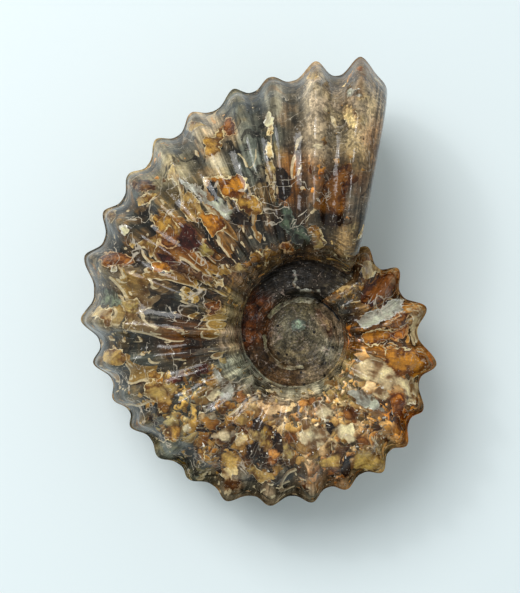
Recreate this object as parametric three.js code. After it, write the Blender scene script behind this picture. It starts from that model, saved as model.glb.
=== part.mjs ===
// A polished ammonite fossil: the coarse-ribbed, heavily knobbed kind with a deep, stepped umbilicus.
// It is one piece of stone: shell, crystal-filled chambers and the sediment in the umbilicus have grown
// into a single solid. The newest end of the coil is sawn off flat and its edge is rounded over.
//
// Units are millimetres and +Z is up. The fossil lies on its side, so the coil's axis is nearly upright.
// The origin is under the middle of its bounding box, on the surface that it lies on.
//
// The coil is followed backwards: "back" is the angle in degrees, anticlockwise seen from above, from the
// sawn mouth towards the older and smaller shell. One turn back the same direction meets the next whorl in.
import * as THREE from "three";

const { degToRad, lerp, smoothstep, clamp } = THREE.MathUtils;
const TURN = 360;

// --- Driving dimensions of the coil, each from the mouth to one full turn back ---
// Radius of the keel-less outer edge, in the hollows between ribs.
const EDGE_RADIUS = [54.0, 49.2, 45.3, 42.3, 38.2, 35.0, 33.1, 30.5, 28.9, 25.6, 23.2, 21.4, 20.2];
// Half of the whorl's breadth, across the coil's plane.
const HALF_BREADTH = [21.0, 18.3, 15.8, 13.4, 11.3];
// Radius where the whorl is broadest, and the radius where its inner wall would reach the middle plane.
const BROADEST_RADIUS = [25.4, 21.7, 18.3, 14.7, 11.6];
const INNER_WALL_RADIUS = [15.6, 11.6, 9.6, 8.8, 8.2];
// Fullness of the section's two quarters: 2 is an ellipse, more is squarer.
const OUTER_FULLNESS = 2.5;
const INNER_FULLNESS = 3.5;

// --- Ribs: degrees back from the mouth, and height in mm at the outer edge. The first is sawn away ---
const RIBS = [
  [-6, 2.0], [6.7, 4.0], [16.1, 3.2], [26.1, 1.8], [34.3, 2.0], [45.3, 2.3], [55.5, 2.4],
  [66, 1.9], [76.7, 2.4], [88.8, 3.0], [105.1, 3.1], [117, 2.5], [128.2, 1.6], [137.7, 1.7],
  [150.1, 1.4], [162, 1.5], [175.8, 2.0], [189.9, 1.8], [204.4, 2.2], [217.2, 1.7], [231.6, 2.1],
  [244.5, 2.0], [259.5, 2.0], [278.4, 3.1], [305.6, 3.4], [332, 2.7], [354, 2.0],
];
const INNER_RIB_SPACING = 24;
const INNER_RIB_HEIGHT = 0.6;
const CREST_SHARPNESS = 1.4;
// Share of the rib's height, by degrees round the section: -90 is the inner wall, 0 where the whorl is
// broadest, 90 the outer edge. The peaks are the knobs on each rib.
const RELIEF = [
  [-90, 0], [-60, 0.02], [-40, 0.2], [-22, 0.36], [0, 0.42], [20, 0.4], [35, 0.5],
  [52, 1.0], [66, 0.85], [80, 1.0], [90, 0.85],
];

// --- The sawn mouth: an upright plane, by the direction that it faces and its distance from the axis ---
const MOUTH_FACES = -11.2;
const MOUTH_DISTANCE = 7.7;
const MOUTH_EDGE_RADIUS = 53;
const MOUTH_ROUNDING = 3.0;
const MOUTH_REACH = 24; // how far back the growth lines still lean with the mouth
const UNDER_MOUTH_REACH = 90; // the same for the whorl that comes out from under it
const LEAN_FROM_RADIUS = 15.5;

// --- The umbilicus is filled to this half height with sediment, which has a low knob in its middle ---
const FILL_HALF_HEIGHT = 6.3;
const FILL_KNOB_RADIUS = 1.8;
const FILL_KNOB_HEIGHT = 0.5;

// --- How it lies: its axis leans away from the thick mouth end, and the crests that touch are worn flat ---
const REST_TILT = 6.75;
const REST_TILT_TOWARDS = 76;
const WORN_DEPTH = 0.8;

// --- Facets ---
const STEPS_PER_RIB = 6;
const ROUNDING_STEPS = [0, 0.13, 0.5, 1]; // shares of the rounding, measured back from the mouth
const CLEAR_OF_ROUNDING = 1.2; // the next growth line is at least this many roundings back
const INNER_ROWS = 4;
const OUTER_ROWS = 7;
const FLOOR_ROWS = [0.3, 0.46, 0.6, 0.8]; // shares of the way from the axis to the seam
const CORNER_ROW = INNER_ROWS + 3; // the row of the oldest growth line that the mouth's corners lie on
const SEAM_TRIES = 40;

// A smooth curve through evenly spaced values of one turn. Further in, each turn repeats it smaller.
function alongCoil(values, back) {
  const last = values.length - 1;
  const shrink = values[last] / values[0];
  const turns = Math.floor(back / TURN);
  const place = (back / TURN - turns) * last;
  const at = (k) => (k < 0 ? values[k + last] / shrink : k > last ? values[k - last] * shrink : values[k]);
  const k = Math.floor(place);
  const t = place - k;
  const [a, b, c, d] = [at(k - 1), at(k), at(k + 1), at(k + 2)];
  const curve = b + 0.5 * t * (c - a + t * (2 * a - 5 * b + 4 * c - d + t * (3 * (b - c) + d - a)));
  return curve * shrink ** turns;
}

function sectionAt(back) {
  return {
    edge: alongCoil(EDGE_RADIUS, back),
    breadth: alongCoil(HALF_BREADTH, back),
    middle: alongCoil(BROADEST_RADIUS, back),
    wall: alongCoil(INNER_WALL_RADIUS, back),
  };
}

// The ribs of the whole coil, the small ones of the inner whorls included.
const allRibs = [...RIBS];
while (allRibs.at(-1)[0] < 2 * TURN) {
  allRibs.push([allRibs.at(-1)[0] + INNER_RIB_SPACING, INNER_RIB_HEIGHT]);
}

// Height of the ribbing at the outer edge: full on a crest, nothing midway between two crests.
function ribHeight(back) {
  const next = allRibs.findIndex(([angle]) => angle > back);
  const [from, low] = allRibs[next - 1];
  const [to, high] = allRibs[next];
  const phase = (back - from) / (to - from);
  return lerp(low, high, phase) * (0.5 + 0.5 * Math.cos(2 * Math.PI * phase)) ** CREST_SHARPNESS;
}

function reliefShare(degrees) {
  const next = Math.max(1, RELIEF.findIndex(([angle]) => angle >= degrees));
  const [from, low] = RELIEF[next - 1];
  const [to, high] = RELIEF[next];
  return lerp(low, high, (degrees - from) / (to - from));
}

// A point of a whorl's section: its radius and height, at an angle round the section, without ribs.
function smoothPoint(section, degrees) {
  const outside = degrees >= 0;
  const power = 2 / (outside ? OUTER_FULLNESS : INNER_FULLNESS);
  const along = Math.sin(degToRad(Math.abs(degrees))) ** power;
  const up = Math.max(0, Math.cos(degToRad(degrees))) ** power;
  const reach = outside ? section.edge - section.middle : section.wall - section.middle;
  return { radius: section.middle + reach * along, height: section.breadth * up };
}

// The same point with the ribs raised square to the section.
function ribbedPoint(back, section, degrees, inset) {
  const { radius, height } = smoothPoint(section, degrees);
  const outside = degrees >= 0;
  const fullness = outside ? OUTER_FULLNESS : INNER_FULLNESS;
  const reach = outside ? section.edge - section.middle : section.middle - section.wall;
  const along = ((radius - section.middle) / reach) * (outside ? 1 : -1);
  const out = Math.max(0, along) ** (fullness - 1) / reach * (outside ? 1 : -1);
  const up = (height / section.breadth) ** (fullness - 1) / section.breadth;
  const raise = (ribHeight(back) * reliefShare(degrees) - inset) / Math.hypot(out, up);
  return { radius: radius + raise * out, height: height + raise * up };
}

// Height of the umbilicus floor: the next whorl in, or the sediment where that stands higher.
function floorHeight(back, radius) {
  const knob = FILL_KNOB_HEIGHT * (1 - smoothstep(radius, 0, FILL_KNOB_RADIUS));
  const section = sectionAt(back + TURN);
  const outside = radius > section.middle;
  const reach = outside ? section.edge - section.middle : section.middle - section.wall;
  const fullness = outside ? OUTER_FULLNESS : INNER_FULLNESS;
  const away = Math.abs(radius - section.middle) / reach;
  if (away >= 1) {
    return FILL_HALF_HEIGHT + knob;
  }
  const degrees = THREE.MathUtils.radToDeg(Math.asin(away ** (fullness / 2))) * (outside ? 1 : -1);
  const ribs = ribHeight(back + TURN) * reliefShare(degrees);
  const whorl = section.breadth * (1 - away ** fullness) ** (1 / fullness) + ribs;
  return Math.max(FILL_HALF_HEIGHT + knob, whorl);
}

// The angle round the section where the whorl's inner wall meets the umbilicus floor.
function seamDegrees(back, section) {
  let low = -90;
  let high = 0;
  for (let i = 0; i < SEAM_TRIES; i++) {
    const middle = (low + high) / 2;
    const { radius, height } = smoothPoint(section, middle);
    if (height < floorHeight(back, radius)) {
      low = middle;
    } else {
      high = middle;
    }
  }
  return (low + high) / 2;
}

// How far the growth lines are turned, so that the ones at the mouth lie in its plane.
function mouthAngle(radius) {
  return MOUTH_FACES + THREE.MathUtils.radToDeg(Math.acos(Math.min(1, MOUTH_DISTANCE / radius)));
}

function directionOf(back, radius) {
  const mouth = mouthAngle(MOUTH_EDGE_RADIUS);
  const near = 1 - smoothstep(back, 0, MOUTH_REACH) + smoothstep(back, TURN - UNDER_MOUTH_REACH, TURN);
  const lean = mouthAngle(Math.max(radius, LEAN_FROM_RADIUS)) - mouth;
  const inner = smoothstep(radius, 0, LEAN_FROM_RADIUS);
  return degToRad(mouth + back + near * lean * inner);
}

// How much the section shrinks towards the mouth, where the sawn edge is rounded over.
function mouthInset(back) {
  const distance = degToRad(back) * MOUTH_EDGE_RADIUS;
  const missing = 1 - clamp(distance / MOUTH_ROUNDING, 0, 1);
  return MOUTH_ROUNDING * (1 - Math.sqrt(1 - missing ** 2));
}

// The columns of the surface: every growth line that gets vertices, as angles back from the mouth.
function columnAngles() {
  const roundingDegrees = THREE.MathUtils.radToDeg(MOUTH_ROUNDING / MOUTH_EDGE_RADIUS);
  const columns = ROUNDING_STEPS.map((share) => share * roundingDegrees);
  for (let rib = 1; rib < RIBS.length; rib++) {
    for (let step = 0; step < STEPS_PER_RIB; step++) {
      columns.push(lerp(RIBS[rib - 1][0], RIBS[rib][0], step / STEPS_PER_RIB));
    }
  }
  const clear = roundingDegrees * CLEAR_OF_ROUNDING;
  const kept = columns.filter((back, i) => i < ROUNDING_STEPS.length || back > clear);
  return [...kept, RIBS.at(-1)[0], TURN];
}

function buildShell() {
  const vertices = [];
  const triangles = [];
  const addVertex = (back, { radius, height }) => {
    const direction = directionOf(back, radius);
    vertices.push(radius * Math.cos(direction), radius * Math.sin(direction), height);
    return vertices.length / 3 - 1;
  };

  // The triangles between two chains of vertices that have their ends in common or side by side.
  const spot = (v) => new THREE.Vector3().fromArray(vertices, v * 3);
  const zip = (left, right, side) => {
    let i = 0;
    let j = 0;
    while (i < left.length - 1 || j < right.length - 1) {
      const acrossLeft = i < left.length - 1 ? spot(left[i + 1]).distanceTo(spot(right[j])) : Infinity;
      const acrossRight = j < right.length - 1 ? spot(left[i]).distanceTo(spot(right[j + 1])) : Infinity;
      const third = acrossLeft <= acrossRight ? left[++i] : right[++j];
      const corner = acrossLeft <= acrossRight ? [left[i - 1], third, right[j]] : [left[i], third, right[j - 1]];
      if (new Set(corner).size === 3) {
        triangles.push(...(side > 0 ? corner : corner.reverse()));
      }
    }
  };

  // The outer whorl: one row of vertices over each growth line, from the upper seam round the outer
  // edge to the lower seam.
  const angles = columnAngles();
  const whorl = angles.map((back) => {
    const section = sectionAt(back);
    const seam = seamDegrees(back, section);
    const upper = [];
    for (let row = 0; row < INNER_ROWS; row++) {
      upper.push(seam * (1 - row / INNER_ROWS));
    }
    for (let row = 0; row < OUTER_ROWS; row++) {
      upper.push((90 * row) / OUTER_ROWS);
    }
    const inset = mouthInset(back);
    const points = upper.map((degrees) => ribbedPoint(back, section, degrees, inset));
    const edge = ribbedPoint(back, section, 90, inset);
    const lower = points.map(({ radius, height }) => ({ radius, height: -height })).reverse();
    return [...points, { radius: edge.radius, height: 0 }, ...lower].map((p) => addVertex(back, p));
  });
  const first = whorl[0];
  const last = whorl.at(-1);

  // The mouth's two inner corners lie on the whorl that comes out from under it.
  first[0] = last[CORNER_ROW];
  first[first.length - 1] = last[last.length - 1 - CORNER_ROW];
  for (let i = 1; i < whorl.length; i++) {
    zip(whorl[i - 1], whorl[i], 1);
  }

  // The umbilicus floor on each side, from the axis out to the seam.
  for (const side of [1, -1]) {
    const axis = addVertex(0, { radius: 0, height: side * floorHeight(0, 0) });
    const floor = angles.slice(1).map((back, i) => {
      const seam = whorl[i + 1].at(side > 0 ? 0 : -1);
      const reach = Math.hypot(vertices[seam * 3], vertices[seam * 3 + 1]);
      const rows = FLOOR_ROWS.map((share) => {
        const radius = share * reach;
        return addVertex(back, { radius, height: side * floorHeight(back, radius) });
      });
      return [axis, ...rows, seam];
    });
    for (let i = 1; i < floor.length; i++) {
      zip(floor[i - 1], floor[i], side);
    }
    const underMouth = side > 0 ? last.slice(1, CORNER_ROW + 1) : last.slice(-1 - CORNER_ROW, -1).reverse();
    zip([...floor.at(-1), ...underMouth], floor[0], side);
  }

  // The sawn face, between the newest section and the whorl that it sits on.
  zip(last.slice(CORNER_ROW, last.length - CORNER_ROW), first, 1);

  const geometry = new THREE.BufferGeometry();
  geometry.setAttribute("position", new THREE.Float32BufferAttribute(vertices, 3));
  geometry.setIndex(triangles);
  return geometry;
}

// Lays the shell down: leans it, centres it over the origin and wears its lowest crests flat.
function layDown(geometry) {
  const towards = degToRad(REST_TILT_TOWARDS);
  const hinge = new THREE.Vector3(Math.sin(towards), -Math.cos(towards), 0);
  geometry.applyMatrix4(new THREE.Matrix4().makeRotationAxis(hinge, degToRad(REST_TILT)));
  geometry.computeBoundingBox();
  const { min, max } = geometry.boundingBox;
  geometry.translate(-(min.x + max.x) / 2, -(min.y + max.y) / 2, -min.z - WORN_DEPTH);
  const position = geometry.getAttribute("position");
  for (let i = 0; i < position.count; i++) {
    position.setZ(i, Math.max(0, position.getZ(i)));
  }
  geometry.computeVertexNormals();
  return geometry;
}

const stone = new THREE.MeshStandardMaterial({ color: 0x7a5a35, roughness: 0.25, metalness: 0 });
const ammonite = new THREE.Mesh(layDown(buildShell()), stone);
ammonite.name = "ammonite";

const fossil = new THREE.Group();
fossil.add(ammonite);

export default fossil;
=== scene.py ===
"""A polished ammonite fossil, lying on its side: one stone, grown together from a coarse-ribbed
shell, crystal-filled chambers and the sediment in its umbilicus.

Sizes in the sections below are millimetres, in the shell's own frame: the coil's axis is its Z axis,
and its middle plane is z = 0. The coil is followed backwards: "back" is the angle in degrees from the
sawn mouth towards the older and smaller shell.
"""
import math

import bpy
import numpy as np
from mathutils import Matrix, Vector, noise


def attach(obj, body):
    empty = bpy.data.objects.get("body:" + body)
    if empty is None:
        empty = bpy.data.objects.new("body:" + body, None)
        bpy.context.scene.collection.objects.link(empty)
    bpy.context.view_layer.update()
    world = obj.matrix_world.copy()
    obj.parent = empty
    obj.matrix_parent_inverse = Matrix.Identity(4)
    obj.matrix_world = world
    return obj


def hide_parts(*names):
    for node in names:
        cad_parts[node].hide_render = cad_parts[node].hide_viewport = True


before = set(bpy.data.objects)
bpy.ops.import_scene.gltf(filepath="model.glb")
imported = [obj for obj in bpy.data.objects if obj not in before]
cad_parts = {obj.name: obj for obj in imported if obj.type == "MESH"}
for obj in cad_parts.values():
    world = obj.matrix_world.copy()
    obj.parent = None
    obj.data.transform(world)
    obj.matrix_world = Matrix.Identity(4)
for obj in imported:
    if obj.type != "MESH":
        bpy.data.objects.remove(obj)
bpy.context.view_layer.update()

# --- The shell's form ------------------------------------------------------------------------------
# The shell grew as one tube, coiled flat, that got wider as it grew. Coarse ribs cross it, each with a
# row of knobs. The fossil was tumbled and polished by hand, which left soft waves between the ribs.
TURN = 360
EDGE_RADIUS = [54.0, 49.2, 45.3, 42.3, 38.2, 35.0, 33.1, 30.5, 28.9, 25.6, 23.2, 21.4, 20.2]
HALF_BREADTH = [21.0, 18.3, 15.8, 13.4, 11.3]
BROADEST_RADIUS = [25.4, 21.7, 18.3, 14.7, 11.6]
INNER_WALL_RADIUS = [15.6, 11.6, 9.6, 8.8, 8.2]
OUTER_FULLNESS = 2.5
INNER_FULLNESS = 3.5
RIBS = [
    (-6, 2.0), (6.7, 4.0), (16.1, 3.2), (26.1, 1.8), (34.3, 2.0), (45.3, 2.3), (55.5, 2.4),
    (66, 1.9), (76.7, 2.4), (88.8, 3.0), (105.1, 3.1), (117, 2.5), (128.2, 1.6), (137.7, 1.7),
    (150.1, 1.4), (162, 1.5), (175.8, 2.0), (189.9, 1.8), (204.4, 2.2), (217.2, 1.7), (231.6, 2.1),
    (244.5, 2.0), (259.5, 2.0), (278.4, 3.1), (305.6, 3.4), (332, 2.7), (354, 2.0),
]
INNER_RIB_SPACING = 24
INNER_RIB_HEIGHT = 0.6
CREST_SHARPNESS = 1.4
RIDGE_SMOOTHING = 4
RIDGE_SHARE = [
    (-90, 0), (-60, 0.02), (-40, 0.18), (-22, 0.34), (0, 0.42), (20, 0.4), (35, 0.5),
    (52, 0.85), (66, 0.85), (80, 0.95), (90, 0.85),
]
KNOBS = [(-26, 0.35), (2, 0.4), (17, 0.6), (32, 0.75), (48, 0.7), (64, 0.35), (80, 0.15)]
KNOB_DEGREES = 5.5
KNOB_WIDTH = 1.7
KNOB_SPREAD = (0.55, 1.25)
KNOB_SEED = 11
FULL_KNOB_RIB = 2.0
WAVE_SIZES = [(8.0, 0.3), (2.6, 0.12)]
WAVE_LAYERS = 2

MOUTH_FACES = -11.2
MOUTH_DISTANCE = 7.7
MOUTH_EDGE_RADIUS = 53
MOUTH_ROUNDING = 3.0
MOUTH_REACH = 24
UNDER_MOUTH_REACH = 90
LEAN_FROM_RADIUS = 15.5

WHORL_COLUMNS = 640
ROUNDING_COLUMNS = 9
UPPER_WALL_ROWS = 15
UPPER_FLANK_ROWS = 42
LOWER_FLANK_ROWS = 30
LOWER_WALL_ROWS = 11
SEAM_TRIES = 40

dice = np.random.default_rng(KNOB_SEED)
rib_list = list(RIBS)
while rib_list[-1][0] < 2 * TURN:
    rib_list.append((rib_list[-1][0] + INNER_RIB_SPACING, INNER_RIB_HEIGHT))
rib_back, rib_size = np.array(rib_list, float).T
knob_size = dice.uniform(*KNOB_SPREAD, (len(rib_list), len(KNOBS)))


def smoothstep(value, low, high):
    """Rises smoothly from 0 to 1 while the value goes from low to high."""
    share = np.clip((value - low) / (high - low), 0, 1)
    return share * share * (3 - 2 * share)


def along_coil(values, back):
    """A smooth curve through evenly spaced values of one turn. Each turn further in repeats it smaller."""
    last = len(values) - 1
    shrink = values[-1] / values[0]
    table = np.array([values[-2] / shrink, *values, values[1] * shrink])
    turns = np.floor(back / TURN)
    place = (back / TURN - turns) * last
    k = np.floor(place).astype(int)
    t = place - k
    a, b, c, d = (table[k + i] for i in range(4))
    curve = b + 0.5 * t * (c - a + t * (2 * a - 5 * b + 4 * c - d + t * (3 * (b - c) + d - a)))
    return curve * shrink**turns


def section_at(back):
    """The whorl's section: outer edge, half breadth, radius of the broadest place, inner wall."""
    return tuple(along_coil(v, back) for v in (EDGE_RADIUS, HALF_BREADTH, BROADEST_RADIUS, INNER_WALL_RADIUS))


def rib_height(back):
    """Height of the ribbing at the outer edge, and the number of the nearest rib."""
    k = np.searchsorted(rib_back, back, side="right") - 1
    phase = (back - rib_back[k]) / (rib_back[k + 1] - rib_back[k])
    size = rib_size[k] + (rib_size[k + 1] - rib_size[k]) * phase
    return size * (0.5 + 0.5 * np.cos(2 * np.pi * phase)) ** CREST_SHARPNESS, k + (phase > 0.5)


ridge_degrees = np.arange(-90, 91)
ridge_share = np.interp(ridge_degrees, *np.array(RIDGE_SHARE, float).T)
window = np.ones(2 * RIDGE_SMOOTHING + 1)
padded = np.pad(ridge_share, RIDGE_SMOOTHING, mode="edge")
ridge_share = np.convolve(padded, window / len(window), mode="valid")


def smooth_point(section, degrees):
    """Radius and height of a place on the section, without ribs. 0 is the broadest place, 90 the edge."""
    edge, breadth, middle, wall = section
    power = np.where(degrees >= 0, 2 / OUTER_FULLNESS, 2 / INNER_FULLNESS)
    along = np.sin(np.radians(np.abs(degrees))) ** power
    up = np.clip(np.cos(np.radians(degrees)), 0, 1) ** power
    return middle + np.where(degrees >= 0, edge - middle, wall - middle) * along, breadth * up


def mouth_angle(radius):
    """The direction from the axis, in degrees, in which the flat mouth lies at a radius."""
    return MOUTH_FACES + np.degrees(np.arccos(np.minimum(1, MOUTH_DISTANCE / radius)))


def direction_of(back, radius):
    """The direction from the axis, in radians: growth lines lean so that the first lies in the mouth."""
    mouth = mouth_angle(MOUTH_EDGE_RADIUS)
    near = 1 - smoothstep(back, 0, MOUTH_REACH) + smoothstep(back, TURN - UNDER_MOUTH_REACH, TURN)
    lean = mouth_angle(np.maximum(radius, LEAN_FROM_RADIUS)) - mouth
    return np.radians(mouth + back + near * lean * smoothstep(radius, 0, LEAN_FROM_RADIUS))


def to_place(back, radius, height):
    """A place on a growth line, from how far back it lies, its radius and its height."""
    direction = direction_of(back, radius)
    return np.stack([radius * np.cos(direction), radius * np.sin(direction), height], axis=-1)


def waves(places):
    """How far hand polishing has left the surface above or below its even form."""
    total = np.zeros(len(places))
    for size, height in WAVE_SIZES:
        total += height * np.array([noise.fractal(Vector(p), 1.0, 2.0, WAVE_LAYERS) for p in places / size])
    return total


def ribbed_points(back, section, degrees, side, inset):
    """The surface itself: ribs, knobs and waves raised square to the section. The inset lowers it."""
    edge, breadth, middle, wall = section
    radius, height = smooth_point(section, degrees)
    outside = degrees >= 0
    fullness = np.where(outside, OUTER_FULLNESS, INNER_FULLNESS)
    reach = np.where(outside, edge - middle, middle - wall)
    along = np.maximum(0, np.where(outside, 1, -1) * (radius - middle) / reach)
    out = along ** (fullness - 1) / reach * np.where(outside, 1, -1)
    up = (height / breadth) ** (fullness - 1) / breadth
    ribbing, nearest = rib_height(back)
    across = np.radians(back - rib_back[nearest]) * radius / KNOB_WIDTH
    knobs = sum(
        knob_size[nearest, row] * size * np.exp(-(((degrees - knob) / KNOB_DEGREES) ** 2) - across**2)
        for row, (knob, size) in enumerate(KNOBS)
    )
    knobs = knobs * np.minimum(1, rib_size[nearest] / FULL_KNOB_RIB)
    relief = ribbing * np.interp(degrees, ridge_degrees, ridge_share) + knobs
    flat = to_place(back, radius, height * side)
    wave = waves(flat.reshape(-1, 3)).reshape(radius.shape)
    lift = (relief + wave * np.exp(-inset) - inset) / np.hypot(out, up)
    return to_place(back, radius + lift * out, (height + lift * up) * side), relief


# --- The umbilicus ---------------------------------------------------------------------------------
# The pit in the middle of each side shows the next whorl in. Sediment fills its bottom: a flat disc with
# a rim round it and a low knob in the middle, all polished with the rest.
FILL_HALF_HEIGHT = 6.8
FILL_KNOB_RADIUS = 1.8
FILL_KNOB_HEIGHT = 0.5
DISC_RADIUS = 7.4
DISC_RIM_HEIGHT = 0.45
DISC_RIM_WIDTH = 0.5
DISC_RIM_INSIDE = 0.5
DISC_GROOVE_DEPTH = 0.5
DISC_GROOVE_OUTSIDE = 0.4


def floor_height(back, radius):
    """Height of the umbilicus floor: the next whorl in, or the sediment where that stands higher."""
    edge, breadth, middle, wall = section_at(back + TURN)
    outside = radius > middle
    fullness = np.where(outside, OUTER_FULLNESS, INNER_FULLNESS)
    reach = np.where(outside, edge - middle, middle - wall)
    away = np.minimum(1, np.abs(radius - middle) / reach)
    degrees = np.degrees(np.arcsin(away ** (fullness / 2))) * np.where(outside, 1, -1)
    ribs = rib_height(back + TURN)[0] * np.interp(degrees, ridge_degrees, ridge_share)
    whorl = np.where(away < 1, breadth * (1 - away**fullness) ** (1 / fullness) + ribs, 0)
    disc = FILL_HALF_HEIGHT + FILL_KNOB_HEIGHT * (1 - smoothstep(radius, 0, FILL_KNOB_RADIUS))
    from_rim = (radius - DISC_RADIUS + DISC_RIM_INSIDE) / DISC_RIM_WIDTH
    from_groove = (radius - DISC_RADIUS - DISC_GROOVE_OUTSIDE) / DISC_RIM_WIDTH
    disc += DISC_RIM_HEIGHT * np.exp(-(from_rim**2))
    disc -= DISC_GROOVE_DEPTH * np.exp(-(from_groove**2))
    return np.maximum(disc, whorl)


def seam_degrees(back, section):
    """Where the whorl's inner wall meets the umbilicus floor, as an angle round the section."""
    low = np.full(back.shape, -90.0)
    high = np.zeros(back.shape)
    for _ in range(SEAM_TRIES):
        middle = (low + high) / 2
        radius, height = smooth_point(section, middle)
        under = height < floor_height(back, radius)
        low = np.where(under, middle, low)
        high = np.where(under, high, middle)
    return (low + high) / 2


# --- One closed skin -------------------------------------------------------------------------------
# The stone's skin: a strip of growth lines round the whole outer whorl, a patch for each umbilicus floor
# and the flat sawn mouth, joined along their edges without a gap.
SAWN_ROWS = 14
CORNER_DEGREES = 38.6
FIRST_COLUMN = 1.1
FINE_STEPS = 4
TABLE_BACK = 90.0
TABLE_STEPS = 1801
FLOOR_ROWS = {1: 28, -1: 12}
FLOOR_CROWDING = 1.1
FLOOR_WAVE_SHARE = 0.5

places, reliefs, backs, rounds, regions = [], [], [], [], []
faces, face_regions = [], []
WHORL, FLOOR, SAWN = 0, 1, 2


def add_vertices(new_places, relief, back, around, region):
    """Adds a block of vertices and returns their numbers in the block's own shape."""
    shape = new_places.shape[:-1]
    start = sum(len(p) for p in places)
    places.append(new_places.reshape(-1, 3))
    for kept, value in ((reliefs, relief), (backs, back), (rounds, around), (regions, region)):
        kept.append(np.broadcast_to(value, shape).reshape(-1).astype(float))
    return np.arange(start, start + int(np.prod(shape))).reshape(shape)


def add_grid(grid, side, region):
    """Quads between neighbouring columns. Quads that have shrunk to a triangle lose a corner."""
    for left, right in zip(grid[:-1].tolist(), grid[1:].tolist()):
        for row in range(len(left) - 1):
            corners = [left[row], left[row + 1], right[row + 1], right[row]]
            corners = [c for i, c in enumerate(corners) if c != corners[i - 1]]
            if len(set(corners)) > 2:
                faces.append(corners if side > 0 else corners[::-1])
                face_regions.append(region)


def zip_chains(left, right, side, region):
    """Triangles between two chains of vertices with different counts."""
    spot = np.concatenate(places)
    i = j = 0
    while i < len(left) - 1 or j < len(right) - 1:
        far = math.inf
        across_left = np.linalg.norm(spot[left[i + 1]] - spot[right[j]]) if i < len(left) - 1 else far
        across_right = np.linalg.norm(spot[left[i]] - spot[right[j + 1]]) if j < len(right) - 1 else far
        if across_left <= across_right:
            corners = [left[i], left[i + 1], right[j]]
            i += 1
        else:
            corners = [left[i], right[j + 1], right[j]]
            j += 1
        if len(set(corners)) == 3:
            faces.append(corners if side > 0 else corners[::-1])
            face_regions.append(region)


# Growth lines lie evenly along the outer edge, and closer together on the mouth's rounded edge.
rounding_degrees = math.degrees(MOUTH_ROUNDING / MOUTH_EDGE_RADIUS)
rounding = rounding_degrees * (1 - np.cos(np.linspace(0, np.pi / 2, ROUNDING_COLUMNS)))
fine_back = np.linspace(rounding_degrees * FIRST_COLUMN, TURN, FINE_STEPS * WHORL_COLUMNS)
edge_length = np.concatenate([[0], np.cumsum(np.diff(fine_back) * along_coil(EDGE_RADIUS, fine_back)[1:])])
even = np.interp(np.linspace(0, edge_length[-1], WHORL_COLUMNS), edge_length, fine_back)
columns = np.concatenate([rounding, even])[:, None]

# Rows lie evenly along the section.
table_degrees = np.linspace(-90, 90, TABLE_STEPS)
table_radius, table_height = smooth_point(section_at(np.full(1, TABLE_BACK)), table_degrees)
steps = np.hypot(np.diff(table_radius), np.diff(table_height))
table_length = np.concatenate([[0], np.cumsum(steps)])
broadest = np.interp(0, table_degrees, table_length)

section = section_at(columns)
seams = seam_degrees(columns, section)
seam_length = np.interp(seams, table_degrees, table_length)


def degrees_of_rows(wall_rows, flank_rows):
    """Where each row lies on each growth line: as an angle round the section, and as a length along it."""
    wall = seam_length + (broadest - seam_length) * np.arange(wall_rows) / wall_rows
    flank = broadest + (table_length[-1] - broadest) * np.arange(flank_rows) / flank_rows
    lengths = np.concatenate([wall, np.broadcast_to(flank, (len(columns), flank_rows))], axis=1)
    return np.interp(lengths, table_length, table_degrees), lengths


upper, upper_length = degrees_of_rows(UPPER_WALL_ROWS, UPPER_FLANK_ROWS)
lower, lower_length = degrees_of_rows(LOWER_WALL_ROWS, LOWER_FLANK_ROWS)
edge_row = np.full((len(columns), 1), 90.0)
degrees = np.concatenate([upper, edge_row, lower[:, ::-1]], axis=1)
side = np.concatenate([np.ones_like(upper), 0 * edge_row, -np.ones_like(lower)], axis=1)
around = np.concatenate(
    [upper_length, 0 * edge_row + table_length[-1], 2 * table_length[-1] - lower_length[:, ::-1]], axis=1
)
missing = 1 - np.clip(np.radians(columns) * MOUTH_EDGE_RADIUS / MOUTH_ROUNDING, 0, 1)
inset = MOUTH_ROUNDING * (1 - np.sqrt(1 - missing**2))
skin, relief = ribbed_points(columns + 0 * degrees, section, degrees, side, inset)
whorl = add_vertices(skin, relief, columns, around, WHORL)
upper_corner = int(np.argmin(np.abs(upper[-1] - CORNER_DEGREES)))
lower_corner = int(np.argmin(np.abs(lower[-1] - CORNER_DEGREES)))
whorl[0, 0] = whorl[-1, upper_corner]
whorl[0, -1] = whorl[-1, -1 - lower_corner]
add_grid(whorl, 1, WHORL)

# The floor of each umbilicus runs from the axis out to the seam. Its rows crowd towards the seam.
all_places = np.concatenate(places)
for turned, corner in ((1, upper_corner), (-1, lower_corner)):
    end = 0 if turned > 0 else -1
    seam = whorl[1:, end]
    seam_reach = np.hypot(*all_places[seam, :2].T)[:, None]
    shares = 1 - (1 - np.arange(1, FLOOR_ROWS[turned]) / FLOOR_ROWS[turned]) ** FLOOR_CROWDING
    radius = seam_reach * shares
    back = columns[1:] + 0 * radius
    flat = to_place(back, radius, turned * floor_height(back, radius))
    flat[..., 2] += turned * FLOOR_WAVE_SHARE * waves(flat.reshape(-1, 3)).reshape(radius.shape)
    rows = add_vertices(flat, 0, back, turned * radius, FLOOR)
    tip = np.array([0, 0, turned * float(floor_height(np.zeros(1), np.zeros(1))[0])])
    axis = add_vertices(tip[None], 0, 0, 0, FLOOR)
    floor = np.concatenate([np.broadcast_to(axis, (len(rows), 1)), rows, seam[:, None]], axis=1)
    add_grid(floor, turned, FLOOR)
    last = whorl[-1] if turned > 0 else whorl[-1, ::-1]
    zip_chains([*floor[-1], *last[1 : corner + 1]], list(floor[0]), turned, FLOOR)

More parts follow.
